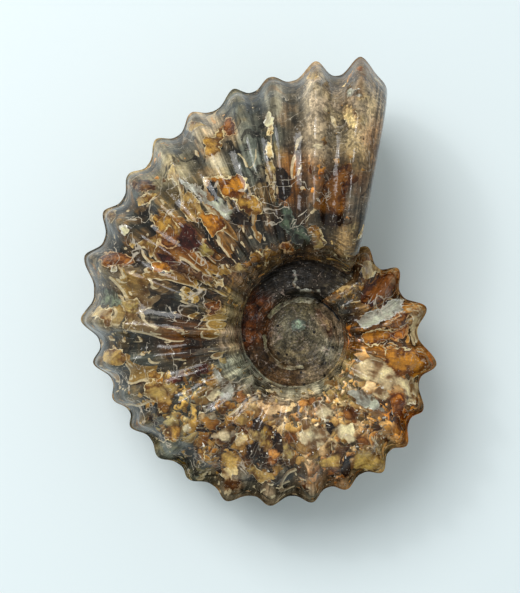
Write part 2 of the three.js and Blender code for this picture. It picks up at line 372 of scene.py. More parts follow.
# The sawn face, from the rounded edge of the mouth in to the whorl that it sits on.
inner_chain = whorl[-1, upper_corner : len(whorl[-1]) - lower_corner]
all_places = np.concatenate(places)
mouth_edge = all_places[whorl[0]]
inner = all_places[inner_chain]
inner_length = np.concatenate([[0], np.cumsum(np.linalg.norm(np.diff(inner, axis=0), axis=1))])
stops = np.linspace(0, inner_length[-1], len(mouth_edge))
inner_even = np.stack([np.interp(stops, inner_length, inner[:, i]) for i in range(3)], axis=1)
shares = (np.arange(1, SAWN_ROWS) / SAWN_ROWS)[:, None, None]
sawn_places = mouth_edge + (inner_even - mouth_edge) * shares
edge_distance = np.linalg.norm(sawn_places - mouth_edge, axis=2)
sawn = add_vertices(sawn_places, 0, 0, edge_distance, SAWN)
sawn[:, 0] = whorl[0, 0]
sawn[:, -1] = whorl[0, -1]
add_grid(np.concatenate([sawn[::-1], whorl[:1]]), 1, SAWN)
zip_chains(list(inner_chain), list(sawn[-1]), 1, SAWN)

place = np.concatenate(places)
relief = np.concatenate(reliefs)
back = np.concatenate(backs)
around = np.concatenate(rounds)
region = np.concatenate(regions)

# --- How it lies -----------------------------------------------------------------------------------
# The mouth end is thicker, so the coil's axis leans away from it. The crests that touch are worn flat.
MM = 0.001
REST_TILT = 6.75
REST_TILT_TOWARDS = 76
AXIS_AT = Vector((7.825, -10.895, 18.648))

towards = math.radians(REST_TILT_TOWARDS)
hinge = Vector((math.sin(towards), -math.cos(towards), 0))
lean = Matrix.Rotation(math.radians(REST_TILT), 3, hinge)
laid = place @ np.array(lean).T + np.array(AXIS_AT)
laid[:, 2] = np.maximum(laid[:, 2], 0)

mesh = bpy.data.meshes.new("polished_ammonite")
mesh.from_pydata((laid * MM).tolist(), [], faces)
mesh.polygons.foreach_set("use_smooth", [True] * len(mesh.polygons))
mesh.polygons.foreach_set("material_index", face_regions)
fossil = bpy.data.objects.new("polished_ammonite", mesh)
bpy.context.scene.collection.objects.link(fossil)
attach(fossil, "root")
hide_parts("ammonite")

# --- Where the colours lie ---------------------------------------------------------------------------
# Seen from above, the shell runs from streaky tan and slate at the mouth through brown and amber to
# clusters of pale crystal at its older end. Each zone's colours fade into those of its neighbours.
EYE = Vector((-7.6, 8.0, 300))
STONE_SHADES = {
    "soot": "28221c", "shadow": "3c342a", "peat": "3e2c1a", "coffee": "3a200c", "chestnut": "512c10",
    "sepia": "503a24", "loam": "4c4230", "slate": "46463c", "walnut": "60482e", "umber": "6c400f",
    "shale": "585a4e", "stone": "6a6452", "ash": "6c7064", "clay": "74644e", "dun": "84745c",
    "brick": "784822", "sienna": "88541e", "rust": "985420", "copper": "a86820", "amber": "c88834",
    "caramel": "80602e", "oak": "946c38", "bronze": "90703c", "leather": "8e6c4a", "olive": "807248",
    "brass": "a48440", "khaki": "8c7c58", "sand": "a08c60", "lichen": "90907a", "straw": "b49c6a",
    "tan": "ae9678", "ginger": "b07c40", "blush": "b8865c", "wheat": "b8a880", "fawn": "bc9868",
    "honey": "d0a86c", "putty": "aca688", "biscuit": "d4b484", "linen": "bca688", "cream": "dcc298",
    "apricot": "ecb882", "pewter": "7a7e6e", "ivory": "f4dab0", "larch": "705a3a", "custard": "f2ce9e",
    "seam": "5c5440", "cinder": "60563f",
}
SHELL_ZONES = [
    # x, y, reach: the shades of ground and gem, then how much gem, how streaky and how grainy
    # The mouth end: grainy tan sediment, with dark amber below it.
    (12.4, 52.0, 2.8, "walnut", "leather", 0.1, 0.2, 0.6),
    (10.0, 46.4, 4.8, "tan", "straw", 0.03, 0.05, 1),
    (10.4, 40.4, 4.0, "khaki", "straw", 0.03, 0.05, 1),
    (9.0, 34.8, 3.0, "sepia", "caramel", 0.08, 0.1, 0.8),
    (9.4, 28.8, 3.2, "chestnut", "brick", 0.3, 0.4, 0.2),
    (15.6, 39.2, 2.6, "blush", "fawn", 0, 0.4, 0.3),
    (13.6, 27.2, 2.4, "clay", "tan", 0.03, 0.9, 0.3),
    (11.0, 18.8, 2.4, "larch", "sand", 0.1, 0.2, 1),
    (4.0, 46.4, 3.6, "linen", "wheat", 0.05, 0.08, 0.8),
    (4.8, 39.2, 3.6, "dun", "tan", 0.06, 0.1, 0.8),
    (-0.4, 45.6, 2.4, "stone", "leather", 0.2, 0.7, 0.2),
    (0.4, 31.2, 3.6, "sienna", "copper", 0.35, 0.5, 0.3),
    (0.8, 22.8, 2.8, "soot", "walnut", 0.3, 0.7, 0.2),
    (4.8, 24.2, 2.4, "loam", "bronze", 0.3, 0.6, 0.4),
    # The next third, down the left: slate, dark brown and amber.
    (-7.2, 45.6, 3.2, "stone", "leather", 0.2, 0.7, 0.1),
    (-12.4, 46.4, 3.6, "shale", "olive", 0.2, 0.6, 0.1),
    (-10.6, 38.0, 4.4, "shale", "olive", 0.2, 1, 0),
    (-6.0, 31.2, 3.2, "slate", "caramel", 0.35, 1, 0),
    (-16.0, 40.0, 3.2, "cream", "apricot", 0.45, 0.6, 0),
    (-20.6, 37.6, 3.2, "stone", "oak", 0.3, 0.6, 0),
    (-26.4, 34.4, 3.2, "wheat", "biscuit", 0.2, 0.4, 0.1),
    (-24.0, 27.2, 2.8, "cinder", "brass", 0.5, 0.6, 0),
    (-31.2, 24.8, 3.6, "slate", "oak", 0.45, 0.6, 0),
    (-38.4, 18.0, 4.4, "loam", "caramel", 0.4, 0.5, 0),
    (-18.6, 26.6, 3.6, "khaki", "fawn", 0.6, 0.6, 0),
    (-22.4, 19.6, 5.2, "coffee", "sienna", 0.65, 0.6, 0),
    (-13.2, 22.8, 3.6, "peat", "oak", 0.55, 0.7, 0),
    (-29.6, 12.4, 4.8, "peat", "caramel", 0.65, 0.6, 0),
    (-37.6, 8.8, 4.4, "clay", "brass", 0.45, 0.5, 0.2),
    (-38.8, 3.6, 2.8, "stone", "sand", 0.4, 0.4, 0.2),
    (-29.6, 5.6, 4.0, "shadow", "clay", 0.4, 1, 0),
    (-23.2, 0.4, 4.0, "coffee", "umber", 0.5, 0.8, 0),
    (-17.6, 7.2, 4.0, "sepia", "brass", 0.55, 0.7, 0),
    (-36.0, -2.0, 4.8, "slate", "bronze", 0.45, 0.6, 0),
    # The older half: chambers full of crystal.
    (-34.0, -12.0, 5.2, "slate", "bronze", 0.5, 0.5, 0),
    (-27.2, -10.4, 3.6, "walnut", "brass", 0.6, 0.4, 0),
    (-21.2, -13.6, 4.4, "shale", "straw", 0.8, 0.2, 0.2),
    (-25.2, -20.8, 4.4, "slate", "olive", 0.6, 0.4, 0.1),
    (-15.2, -20.8, 5.2, "coffee", "caramel", 1, 0.2, 0.2),
    (-8.0, -15.2, 4.0, "sepia", "bronze", 1, 0.2, 0.2),
    (-3.6, -22.8, 4.4, "peat", "caramel", 1, 0.2, 0.2),
    (-11.6, -29.6, 4.4, "clay", "leather", 0.4, 0.5, 0.1),
    (4.4, -19.2, 5.2, "sand", "cream", 1, 0.2, 0.2),
    (13.6, -20.8, 4.8, "caramel", "fawn", 0.9, 0.2, 0.2),
    (22.0, -16.0, 4.8, "rust", "amber", 0.6, 0.2, 0),
    (25.6, -8.8, 3.6, "brick", "copper", 0.5, 0.3, 0),
    (20.4, -0.8, 4.8, "sienna", "amber", 0.6, 0.6, 0),
    (24.0, 2.0, 2.2, "fawn", "biscuit", 0.2, 0.3, 0),
    (27.6, 0.6, 1.8, "ginger", "honey", 0.2, 0.3, 0),
    (22.1, -9.6, 2.4, "straw", "biscuit", 0.3, 0.2, 0),
    (26.0, -12.0, 2.4, "sand", "honey", 0.2, 0.2, 0),
    (26.4, -5.4, 1.8, "copper", "amber", 0.4, 0.3, 0),
    (16.4, -23.4, 2.6, "sand", "wheat", 0.6, 0.2, 0.1),
    (-2.0, -27.4, 2.2, "shale", "dun", 0.4, 0.6, 0),
    (-9.6, -28.0, 2.0, "shale", "dun", 0.4, 0.6, 0),
    (17.4, 10.4, 4.0, "brick", "ginger", 0.5, 0.9, 0),
    (6.4, -28.4, 4.8, "leather", "blush", 0.5, 0.4, 0.1),
    (-4.8, -32.6, 2.8, "clay", "dun", 0.3, 0.6, 0.1),
    (3.4, -32.8, 2.6, "stone", "clay", 0.3, 0.5, 0.1),
    (12.4, -27.6, 2.2, "cinder", "khaki", 0.4, 0.4, 0.1),
    (-20.2, -28.4, 3.2, "ash", "olive", 0.3, 0.6, 0.1),
    (-27.0, -23.6, 3.0, "ash", "olive", 0.3, 0.6, 0.1),
    (10.8, -9.2, 3.6, "brass", "biscuit", 0.85, 0.2, 0.2),
    # The lip and the inner wall of the umbilicus.
    (-13.0, -0.6, 1.8, "tan", "straw", 0.2, 0.2, 0.3),
    (-11.8, -5.8, 1.8, "lichen", "putty", 0.2, 0.2, 0.3),
    (-8.2, -9.8, 1.9, "lichen", "putty", 0.2, 0.2, 0.3),
    (-3.4, -11.6, 1.9, "lichen", "putty", 0.2, 0.2, 0.3),
    (0.6, -11.8, 1.8, "lichen", "putty", 0.2, 0.2, 0.3),
    (4.0, -10.9, 1.9, "lichen", "putty", 0.25, 0.2, 0.3),
    (8.6, -7.6, 1.6, "khaki", "tan", 0.35, 0.2, 0.2),
    (10.8, -1.6, 1.4, "umber", "rust", 0.35, 0.2, 0),
    (10.0, 5.0, 1.4, "soot", "sepia", 0.2, 0.2, 0),
    (12.4, 9.0, 2.0, "larch", "sand", 0.6, 0.2, 0.1),
    (-12.6, 5.6, 1.8, "khaki", "straw", 0.3, 0.2, 0.2),
    (-10.2, 10.4, 2.0, "walnut", "leather", 0.35, 0.2, 0.1),
    (-5.0, 14.4, 2.0, "sepia", "bronze", 0.35, 0.2, 0.1),
    (1.6, 15.6, 2.0, "sepia", "oak", 0.35, 0.2, 0.1),
    (7.6, 14.0, 2.0, "walnut", "khaki", 0.4, 0.2, 0.1),
    (-4.4, -14.4, 2.3, "apricot", "ivory", 0.4, 0.1, 0.1),
    (2.4, -14.0, 2.3, "apricot", "custard", 0.4, 0.1, 0.1),
    (-9.0, -12.8, 2.2, "fawn", "biscuit", 0.5, 0.1, 0.1),
]
FLOOR_ZONES = [
    (-0.2, 0.4, 2.8, "seam", "clay", 0.35, 0.3, 1),
    (0.0, 2.2, 1.4, "ash", "pewter", 0.1, 0.1, 0.4),
    (0.0, 5.2, 1.8, "cinder", "olive", 0.3, 0.3, 1),
    (0.0, -4.0, 2.4, "loam", "khaki", 0.55, 0.3, 1),
    (5.8, 3.6, 1.4, "clay", "dun", 0.1, 0.2, 0.2),
    (8.4, 1.2, 1.6, "clay", "tan", 0.25, 0.9, 0.8),
    (7.0, -3.4, 1.8, "stone", "khaki", 0.3, 0.9, 0.8),
    (-9.6, 1.6, 2.4, "chestnut", "brick", 0.45, 0.2, 0.3),
    (-8.4, 6.4, 2.0, "chestnut", "brick", 0.4, 0.2, 0.2),
    (-7.6, -4.6, 2.0, "peat", "sepia", 0.25, 0.2, 0.3),
    (-2.0, -8.4, 2.2, "sepia", "larch", 0.25, 0.7, 0.6),
    (3.4, -8.0, 2.0, "clay", "khaki", 0.25, 0.9, 0.8),
    # These three darkest zones along the top of the floor are painted shadow, where the whorl above overhangs
    # it.
    (-4.6, 10.8, 2.4, "soot", "shadow", 0.1, 0.4, 0.2),
    (0.0, 12.2, 2.6, "soot", "slate", 0.1, 0.4, 0.2),
    (6.4, 11.6, 2.2, "soot", "cinder", 0.25, 0.4, 0.4),
    (9.4, 8.6, 2.0, "loam", "khaki", 0.5, 0.8, 0.5),
]
ZONE_FADE = 0.9
ZONE_LEAST = 1e-9
UNDERSIDE_GEM = 0.25
UNDERSIDE_DEPTH = 6
GRAIN_PER_DEGREE = 0.55
CREST_RELIEF = 3.0
MOUTH_STRIP_FADE = (2.0, 6.0)
WALL_FADE = (1, 7)
FURROW_START = 3
OUTER_EDGE_FADE = (4.0, 15.0)
DULL_WIDTH = 9
DULL_EXTRA_WIDTH = 10
DULL_EXTRA_FROM = (-30, 20)
DULL_FADE = (-5, 2)


def colour(code):
    """A hex colour as linear red, green and blue."""
    value = np.array([int(code[i : i + 2], 16) for i in (0, 2, 4)]) / 255
    return ((value + 0.055) / 1.055) ** 2.4


def as_seen(points):
    """Where a point appears on the coil's middle plane, seen from above through the eye."""
    share = EYE.z / (EYE.z - np.abs(points[:, 2:3]))
    eye = np.array(EYE.xy)
    return eye + (points[:, :2] - eye) * share


def blend_zones(zones, seen):
    """The zones' colours and amounts at each point, mixed by closeness."""
    shade = {name: colour(code) for name, code in STONE_SHADES.items()}
    table = np.array([[*shade[zone[3]], *shade[zone[4]], *zone[5:]] for zone in zones])
    centre = np.array([zone[:3] for zone in zones])
    away = ((seen[:, None, :] - centre[None, :, :2]) ** 2).sum(axis=2) / centre[:, 2] ** 2
    weight = np.exp(-ZONE_FADE * away) + ZONE_LEAST / (1 + away)
    return (weight @ table) / weight.sum(axis=1, keepdims=True)


def store(name, kind, values):
    """Keeps one value for each vertex in the mesh, for the materials to read."""
    attribute = mesh.attributes.new(name, kind, "POINT")
    field = {"FLOAT": "value", "FLOAT_VECTOR": "vector", "FLOAT_COLOR": "color"}[kind]
    if kind == "FLOAT_COLOR":
        values = np.column_stack([values, np.ones(len(values))])
    attribute.data.foreach_set(field, np.asarray(values, dtype=np.float32).ravel())


seen = as_seen(place)
in_floor = region == FLOOR
on_shell = region == WHORL
painted = blend_zones(SHELL_ZONES, seen)
painted[in_floor] = blend_zones(FLOOR_ZONES, seen[in_floor])
gem_amount, streak_amount, grain_amount = painted[:, 6:].T
underside = smoothstep(-place[:, 2], 0, UNDERSIDE_DEPTH)
store("ground", "FLOAT_COLOR", painted[:, :3])
store("gem", "FLOAT_COLOR", painted[:, 3:6])
store("gem_amount", "FLOAT", gem_amount + UNDERSIDE_GEM * underside)
store("streak_amount", "FLOAT", streak_amount)
store("grain_amount", "FLOAT", grain_amount)
store("grain", "FLOAT_VECTOR", np.column_stack([back * GRAIN_PER_DEGREE, around, np.zeros(len(back))]))
store("mouth_strip", "FLOAT", on_shell * (1 - smoothstep(back, *MOUTH_STRIP_FADE)))
store("crest", "FLOAT", np.clip(relief / CREST_RELIEF, 0, 1))

# How far a place lies from the outer edge, along the section, sets the wall, the painted light and shade
# across the ribs, and the edge.
from_edge = np.abs(around - table_length[-1])
past_broadest = from_edge - (table_length[-1] - broadest)
store("wall", "FLOAT", on_shell * smoothstep(past_broadest, *WALL_FADE))
# Between the ribs the colour is painted darker, and on the ribs lighter: painted shade and painted light for
# the relief.
ribbing, nearest = rib_height(back)
between_ribs = 1 - ribbing / rib_size[nearest]
store("rib_light_and_shade", "FLOAT", on_shell * np.minimum(1, from_edge / FURROW_START) * between_ribs)
store("outer_edge", "FLOAT", on_shell * (1 - smoothstep(from_edge, *OUTER_EDGE_FADE)))
dull_width = DULL_WIDTH + DULL_EXTRA_WIDTH * smoothstep(seen[:, 0] - seen[:, 1], *DULL_EXTRA_FROM)
store("dull_edge", "FLOAT", on_shell * (1 - smoothstep(from_edge - dull_width, *DULL_FADE)))

# --- Patches in the shell ----------------------------------------------------------------------------
# The patches that catch the eye: windows of amber crystal, dark pits and flakes of pale shell, with a few
# painted highlights and painted shadows among them. Each is an outline on the middle plane, as seen from
# above, with the colours of its rim and its middle.
PATCH_COLOURS = {
    "amber": ("d8c494", "945c1c"), "honey": ("ccb684", "8c642c"), "gold": ("d0bc90", "a48248"),
    "olive": ("ac9c6c", "846e3a"), "rust": ("b89468", "74441c"), "blood": ("553020", "35130c"),
    "bark": ("3e2c20", "21160f"), "jet": ("3c3e3e", "141313"), "cocoa": ("84684a", "5c3c22"),
    "tan": ("b09e78", "8a7046"), "cream": ("d8c8a0", "b4986a"), "pearl": ("dcd6c4", "b4a888"),
    "nacre": ("c4c2b8", "9c9888"), "slate": ("6e705f", "5a5c4e"), "moss": ("565c50", "3c4238"),
    "knob": ("5e6254", "6c7468"), "mud": ("7c6650", "66503c"), "umber": ("5c3a1c", "52290f"),
    "toffee": ("6c4a22", "54300f"), "mahogany": ("74481e", "5a3014"), "peach": ("d8b07c", "a8703c"),
    "sage": ("e0d4b4", "ccb890"), "ochre": ("c0a06c", "a07c44"), "plum": ("4a3020", "26170d"),
    "garnet": ("744028", "50200f"), "shine": ("f4e4c4", "e4bc88"), "bisque": ("e4d4b0", "ccb488"),
    "rim_glint": ("a09880", "8c8268"), "flame": ("c89058", "a05c20"),
}
PATCHES = [
    ("amber", [
        (-17.2, 31.6), (-15.2, 32.0), (-13.6, 31.6), (-11.6, 32.8), (-10.2, 31.8), (-9.8, 30.4),
        (-11.0, 28.4), (-12.4, 27.6), (-15.2, 27.8), (-15.8, 29.4),
    ]),
    ("jet", [
        (-17.6, 31.2), (-16.4, 31.0), (-15.8, 29.8), (-15.6, 28.4), (-16.4, 27.6), (-17.6, 28.4),
        (-18.2, 29.8),
    ]),
    ("nacre", [
        (-24.0, 31.6), (-21.6, 30.4), (-19.6, 29.6), (-18.2, 27.6), (-16.8, 26.6), (-15.2, 27.4),
        (-14.0, 26.4), (-12.2, 26.0), (-14.0, 25.2), (-13.6, 23.2), (-16.4, 25.6), (-18.6, 26.6),
        (-20.4, 28.4), (-22.4, 29.6),
    ]),
    ("jet", [(-16.6, 27.0), (-14.4, 27.2), (-14.2, 26.2), (-15.8, 26.2)]),
    ("bark", [
        (-12.2, 25.4), (-11.0, 24.6), (-9.2, 22.4), (-10.4, 22.0), (-12.8, 22.4), (-14.0, 24.4),
        (-13.4, 25.2),
    ]),
    ("honey", [
        (-13.0, 27.2), (-11.6, 27.8), (-9.6, 28.4), (-7.2, 27.2), (-7.2, 24.6), (-8.8, 23.6),
        (-10.4, 24.6), (-11.6, 25.6),
    ]),
    ("cream", [
        (-26.2, 33.6), (-25.0, 34.2), (-24.0, 33.0), (-23.6, 31.6), (-24.0, 30.6), (-25.4, 31.2),
        (-26.2, 32.4),
    ]),
    ("gold", [
        (-31.8, 28.0), (-30.4, 28.8), (-28.0, 29.0), (-27.6, 28.4), (-29.2, 27.4), (-30.0, 26.2),
        (-31.0, 26.6), (-31.8, 26.2), (-32.2, 27.2),
    ]),
    ("cocoa", [
        (-33.4, 30.6), (-31.6, 31.4), (-29.6, 31.2), (-28.4, 30.4), (-28.2, 29.2), (-30.4, 28.8),
        (-32.4, 29.0),
    ]),
    ("tan", [(-38.8, 25.2), (-37.6, 25.8), (-36.2, 25.0), (-36.2, 23.4), (-37.6, 22.8), (-38.6, 23.6)]),
    ("pearl", [(-35.6, 21.8), (-34.8, 22.4), (-33.8, 21.6), (-34.0, 20.4), (-34.6, 19.8), (-35.4, 20.6)]),
    ("honey", [
        (-29.4, 23.6), (-28.6, 24.4), (-26.8, 24.8), (-25.2, 24.0), (-23.6, 22.4), (-23.6, 21.4),
        (-24.4, 20.6), (-26.0, 22.2), (-26.4, 21.4), (-26.4, 20.4), (-28.0, 19.0), (-29.6, 19.2),
        (-28.0, 21.6), (-29.0, 22.4),
    ]),
    ("gold", [
        (-28.0, 19.6), (-28.4, 18.0), (-29.0, 16.0), (-29.6, 16.2), (-30.0, 17.8), (-31.6, 18.0),
        (-33.2, 18.0), (-33.4, 18.6), (-31.2, 19.2), (-29.2, 20.4),
    ]),
    ("rust", [
        (-27.2, 19.8), (-25.6, 20.2), (-24.4, 20.6), (-24.0, 19.6), (-24.2, 18.0), (-25.0, 17.2),
        (-27.6, 17.8), (-28.0, 18.8),
    ]),
    ("blood", [
        (-23.6, 22.8), (-21.6, 22.4), (-20.2, 21.4), (-20.0, 19.2), (-19.2, 16.8), (-21.2, 17.2),
        (-24.0, 18.0), (-24.0, 20.8),
    ]),
    ("gold", [
        (-23.4, 28.0), (-22.0, 29.0), (-20.4, 28.4), (-19.6, 26.4), (-20.0, 24.2), (-20.8, 22.4),
        (-22.4, 23.6), (-23.4, 25.6),
    ]),
    ("amber", [
        (-19.6, 24.8), (-17.2, 24.8), (-15.2, 23.6), (-14.4, 22.0), (-15.6, 20.8), (-17.2, 20.0),
        (-18.0, 21.2), (-19.2, 22.4),
    ]),
    ("olive", [
        (-19.8, 16.8), (-19.8, 17.8), (-18.8, 18.6), (-17.6, 17.8), (-16.8, 16.8), (-18.0, 16.2),
        (-19.6, 16.0),
    ]),
    ("blood", [(-29.0, 17.2), (-26.6, 16.8), (-24.4, 14.8), (-25.2, 13.2), (-27.6, 15.2)]),
    ("amber", [(-29.4, 14.8), (-28.0, 15.2), (-26.0, 14.8), (-25.2, 12.8), (-27.6, 13.0), (-28.8, 13.2)]),
    ("cocoa", [
        (-25.8, 14.8), (-23.6, 14.6), (-20.6, 13.2), (-17.6, 12.0), (-15.2, 11.2), (-18.6, 11.2),
        (-22.6, 12.0), (-25.0, 13.2),
    ]),
    ("rust", [
        (-40.0, 15.6), (-38.4, 17.0), (-36.8, 17.4), (-34.4, 16.8), (-32.8, 15.6), (-33.2, 14.4),
        (-36.0, 14.0), (-38.4, 14.0),
    ]),
    ("pearl", [(-37.6, 13.6), (-36.4, 14.2), (-35.8, 13.2), (-36.6, 12.4), (-37.6, 12.8)]),
    ("cream", [
        (-40.2, 5.6), (-38.8, 5.4), (-37.2, 5.6), (-36.8, 4.4), (-37.6, 2.0), (-38.4, 1.6), (-39.2, 2.8),
        (-40.0, 3.8), (-40.8, 2.8), (-41.2, 4.4),
    ]),
    ("tan", [
        (-35.4, 6.6), (-34.0, 7.2), (-32.2, 7.6), (-31.6, 6.8), (-32.6, 4.0), (-33.4, 1.2), (-34.8, 0.8),
        (-35.2, 2.8), (-34.4, 4.8),
    ]),
    ("slate", [(-39.2, 9.2), (-37.2, 9.6), (-35.8, 8.4), (-35.6, 6.8), (-36.8, 5.8), (-38.8, 6.4)]),
    ("rust", [(-19.0, 6.6), (-16.8, 7.2), (-15.2, 6.8), (-15.6, 5.2), (-17.2, 4.0), (-18.4, 4.6)]),
    ("cream", [(-16.6, 11.2), (-15.2, 11.8), (-13.6, 12.2), (-14.4, 10.6), (-16.0, 9.6), (-16.8, 10.0)]),
    ("tan", [(-14.4, 12.0), (-13.6, 14.0), (-11.6, 14.6), (-9.2, 14.0), (-10.4, 13.0), (-12.4, 12.4)]),
    ("honey", [(-9.4, 16.0), (-8.4, 17.4), (-6.8, 17.8), (-5.4, 17.2), (-6.0, 16.0), (-8.0, 15.4)]),
    ("rust", [(-3.8, 18.0), (-3.2, 19.0), (-1.6, 18.6), (-1.2, 17.4), (-2.4, 16.8)]),
    ("moss", [(-1.4, 22.2), (1.2, 22.4), (2.8, 20.0), (2.0, 18.0), (-0.4, 17.8), (-1.4, 19.6)]),
    ("tan", [(2.6, 20.0), (4.4, 20.8), (5.6, 19.2), (4.8, 17.6), (3.0, 17.4)]),
    ("pearl", [(-6.4, 45.2), (-5.6, 45.4), (-5.0, 44.0), (-5.0, 42.4), (-6.0, 42.0), (-6.6, 43.6)]),
    ("honey", [(-6.0, 41.2), (-5.2, 41.8), (-4.6, 40.6), (-5.2, 39.6), (-6.2, 40.0)]),
    ("cream", [(-6.2, 38.6), (-5.4, 38.8), (-5.0, 37.6), (-5.2, 36.2), (-6.0, 36.2)]),
    ("tan", [
        (-6.4, 35.2), (-5.2, 35.2), (-4.8, 32.2), (-4.6, 29.2), (-5.0, 26.2), (-5.8, 28.2), (-6.2, 31.2),
    ]),
    ("bark", [
        (-4.2, 33.6), (-2.4, 33.2), (-1.4, 31.2), (-1.4, 28.0), (-2.8, 26.6), (-4.2, 27.6), (-4.4, 30.8),
    ]),
    ("moss", [(-4.4, 26.6), (-2.0, 26.0), (-0.8, 22.8), (0.0, 19.2), (-2.0, 20.0), (-3.6, 22.8)]),
    ("rust", [(-14.8, 44.0), (-13.4, 44.2), (-12.4, 42.8), (-12.6, 40.4), (-14.0, 39.8), (-14.8, 41.6)]),
    ("honey", [
        (-18.8, 39.6), (-17.2, 40.0), (-15.2, 42.0), (-14.8, 40.4), (-15.6, 37.2), (-17.2, 35.6),
        (-18.6, 36.8), (-18.4, 38.2),
    ]),
    ("gold", [(-22.4, 42.6), (-21.2, 43.2), (-20.0, 43.2), (-19.2, 42.6), (-20.4, 42.0), (-21.6, 41.2)]),
    ("gold", [(1.4, 53.8), (3.2, 54.0), (4.0, 52.4), (3.2, 51.6), (1.6, 51.8)]),
    ("nacre", [(9.6, 48.8), (10.0, 49.4), (11.4, 49.6), (12.8, 48.6), (12.0, 47.8), (10.4, 47.8)]),
    ("cream", [
        (9.0, 46.6), (9.8, 46.8), (11.0, 45.2), (12.4, 44.8), (12.6, 43.6), (11.8, 41.8), (9.8, 41.8),
        (9.4, 43.6),
    ]),
    ("toffee", [
        (6.8, 33.6), (10.8, 34.6), (10.4, 31.2), (9.6, 27.2), (8.8, 24.2), (6.4, 24.8), (4.0, 24.8),
        (3.4, 26.6), (4.8, 28.2), (5.6, 30.2),
    ]),
    # A dark spot for a small hole by the mouth that the form doesn't have: painted shade.
    ("jet", [(16.6, 48.4), (17.2, 48.6), (17.4, 47.6), (17.2, 46.8), (16.8, 47.0)]),
    ("bark", [(3.6, 24.4), (6.4, 24.6), (9.4, 24.8), (8.8, 22.0), (6.4, 22.0), (4.0, 23.2)]),
    ("honey", [(1.4, 22.0), (2.8, 22.8), (4.8, 20.8), (5.6, 19.2), (4.0, 19.2), (2.4, 20.4)]),
    ("cream", [(12.4, 14.8), (14.8, 14.8), (16.4, 14.0), (15.6, 12.0), (13.6, 11.2), (12.8, 12.8)]),
    ("mahogany", [
        (12.8, 10.2), (16.0, 12.0), (19.2, 13.2), (20.0, 11.2), (18.8, 8.0), (14.8, 5.6), (12.4, 6.4),
    ]),
    # This pale grey band, in the colours of nacre, is a painted highlight on the amber.
    ("nacre", [
        (11.8, 3.2), (13.6, 4.8), (16.4, 6.2), (18.8, 7.6), (20.8, 7.2), (21.2, 5.6), (18.8, 4.0),
        (15.4, 2.4), (12.8, 1.2),
    ]),
    ("rust", [(20.4, 4.8), (22.0, 4.4), (21.6, 2.4), (19.6, 1.2), (18.0, 2.0)]),
    ("amber", [
        (20.8, 10.0), (22.0, 11.2), (24.0, 10.4), (25.4, 8.0), (26.0, 6.0), (24.4, 6.4), (22.8, 8.0),
    ]),
    ("amber", [(12.4, 0.2), (16.4, 1.6), (19.4, 1.2), (18.0, -1.2), (14.4, -2.0)]),
    ("amber", [
        (18.0, -2.8), (21.4, -2.0), (25.2, -3.2), (26.8, -5.6), (24.4, -8.0), (20.4, -8.0), (17.4, -6.0),
    ]),
    ("bisque", [
        (10.8, -5.2), (15.4, -4.4), (18.8, -6.0), (20.4, -8.8), (18.4, -11.2), (14.4, -9.2), (11.4, -8.0),
    ]),
    ("nacre", [(10.4, -11.2), (12.8, -10.8), (16.4, -13.2), (17.6, -15.2), (15.2, -14.8), (12.0, -13.2)]),
    ("bisque", [(16.0, -9.4), (18.0, -10.2), (18.4, -12.0), (17.0, -12.8), (15.2, -11.4)]),
    ("flame", [(18.4, -11.6), (20.8, -11.0), (21.6, -13.4), (21.0, -16.6), (19.4, -15.6), (18.4, -13.6)]),
    ("bisque", [
        (22.4, 5.8), (24.2, 5.4), (24.8, 2.4), (24.4, -0.4), (23.0, -1.8), (22.4, 1.2), (23.0, 3.4),
    ]),
    ("bisque", [(20.4, -8.0), (22.8, -8.4), (24.2, -10.2), (23.4, -12.4), (21.6, -11.4), (20.6, -9.8)]),
    ("bisque", [(21.6, -12.4), (23.6, -12.6), (24.4, -13.6), (22.8, -14.2), (21.6, -13.6)]),
    ("flame", [(21.4, -14.8), (23.4, -14.8), (23.6, -16.6), (22.0, -17.4)]),
    ("flame", [(17.2, 1.0), (20.0, 1.2), (22.2, 2.8), (21.6, 0.2), (19.2, -0.8), (17.4, -0.4)]),
    # The lower lip and the chambers of crystal below it.
    # The shine patch on the lip is a painted highlight over the lip's own pale cream.
    ("shine", [
        (-9.2, -13.0), (-7.2, -14.6), (-5.4, -15.8), (-3.0, -15.4), (-0.8, -14.8), (0.4, -14.0),
        (-1.6, -13.5), (-4.4, -13.9), (-6.6, -13.7), (-8.4, -12.5),
    ]),
    ("peach", [(-0.4, -14.4), (1.4, -13.9), (3.2, -13.0), (4.8, -12.2), (2.6, -12.0), (0.6, -12.8)]),
    ("peach", [(-12.6, -11.4), (-11.2, -11.0), (-10.4, -12.4), (-11.4, -13.4), (-12.6, -12.8)]),
    ("sage", [
        (3.8, -14.4), (4.8, -13.5), (6.8, -14.1), (7.4, -15.4), (6.4, -16.7), (4.6, -16.9), (3.7, -15.6),
    ]),
    ("pearl", [(-0.6, -15.3), (0.6, -15.0), (1.1, -15.9), (0.0, -16.4)]),
    ("nacre", [
        (-17.0, -6.6), (-15.8, -7.2), (-14.6, -9.2), (-13.6, -9.0), (-12.7, -10.2), (-13.3, -12.6),
        (-14.6, -13.3), (-15.5, -12.2), (-15.1, -10.6), (-16.3, -9.0),
    ]),
    ("ochre", [
        (-12.4, -16.0), (-10.8, -15.2), (-9.3, -16.1), (-9.4, -17.4), (-11.0, -18.1), (-12.6, -17.4),
    ]),
    ("plum", [(-9.2, -16.4), (-7.6, -16.2), (-6.4, -17.6), (-7.4, -19.0), (-9.4, -18.7)]),
    ("plum", [(5.4, -17.2), (6.8, -16.8), (7.6, -18.2), (6.4, -19.6), (5.4, -18.6)]),
    ("plum", [(-5.0, -19.2), (-3.4, -18.9), (-3.0, -21.4), (-3.4, -23.2), (-4.9, -22.8)]),
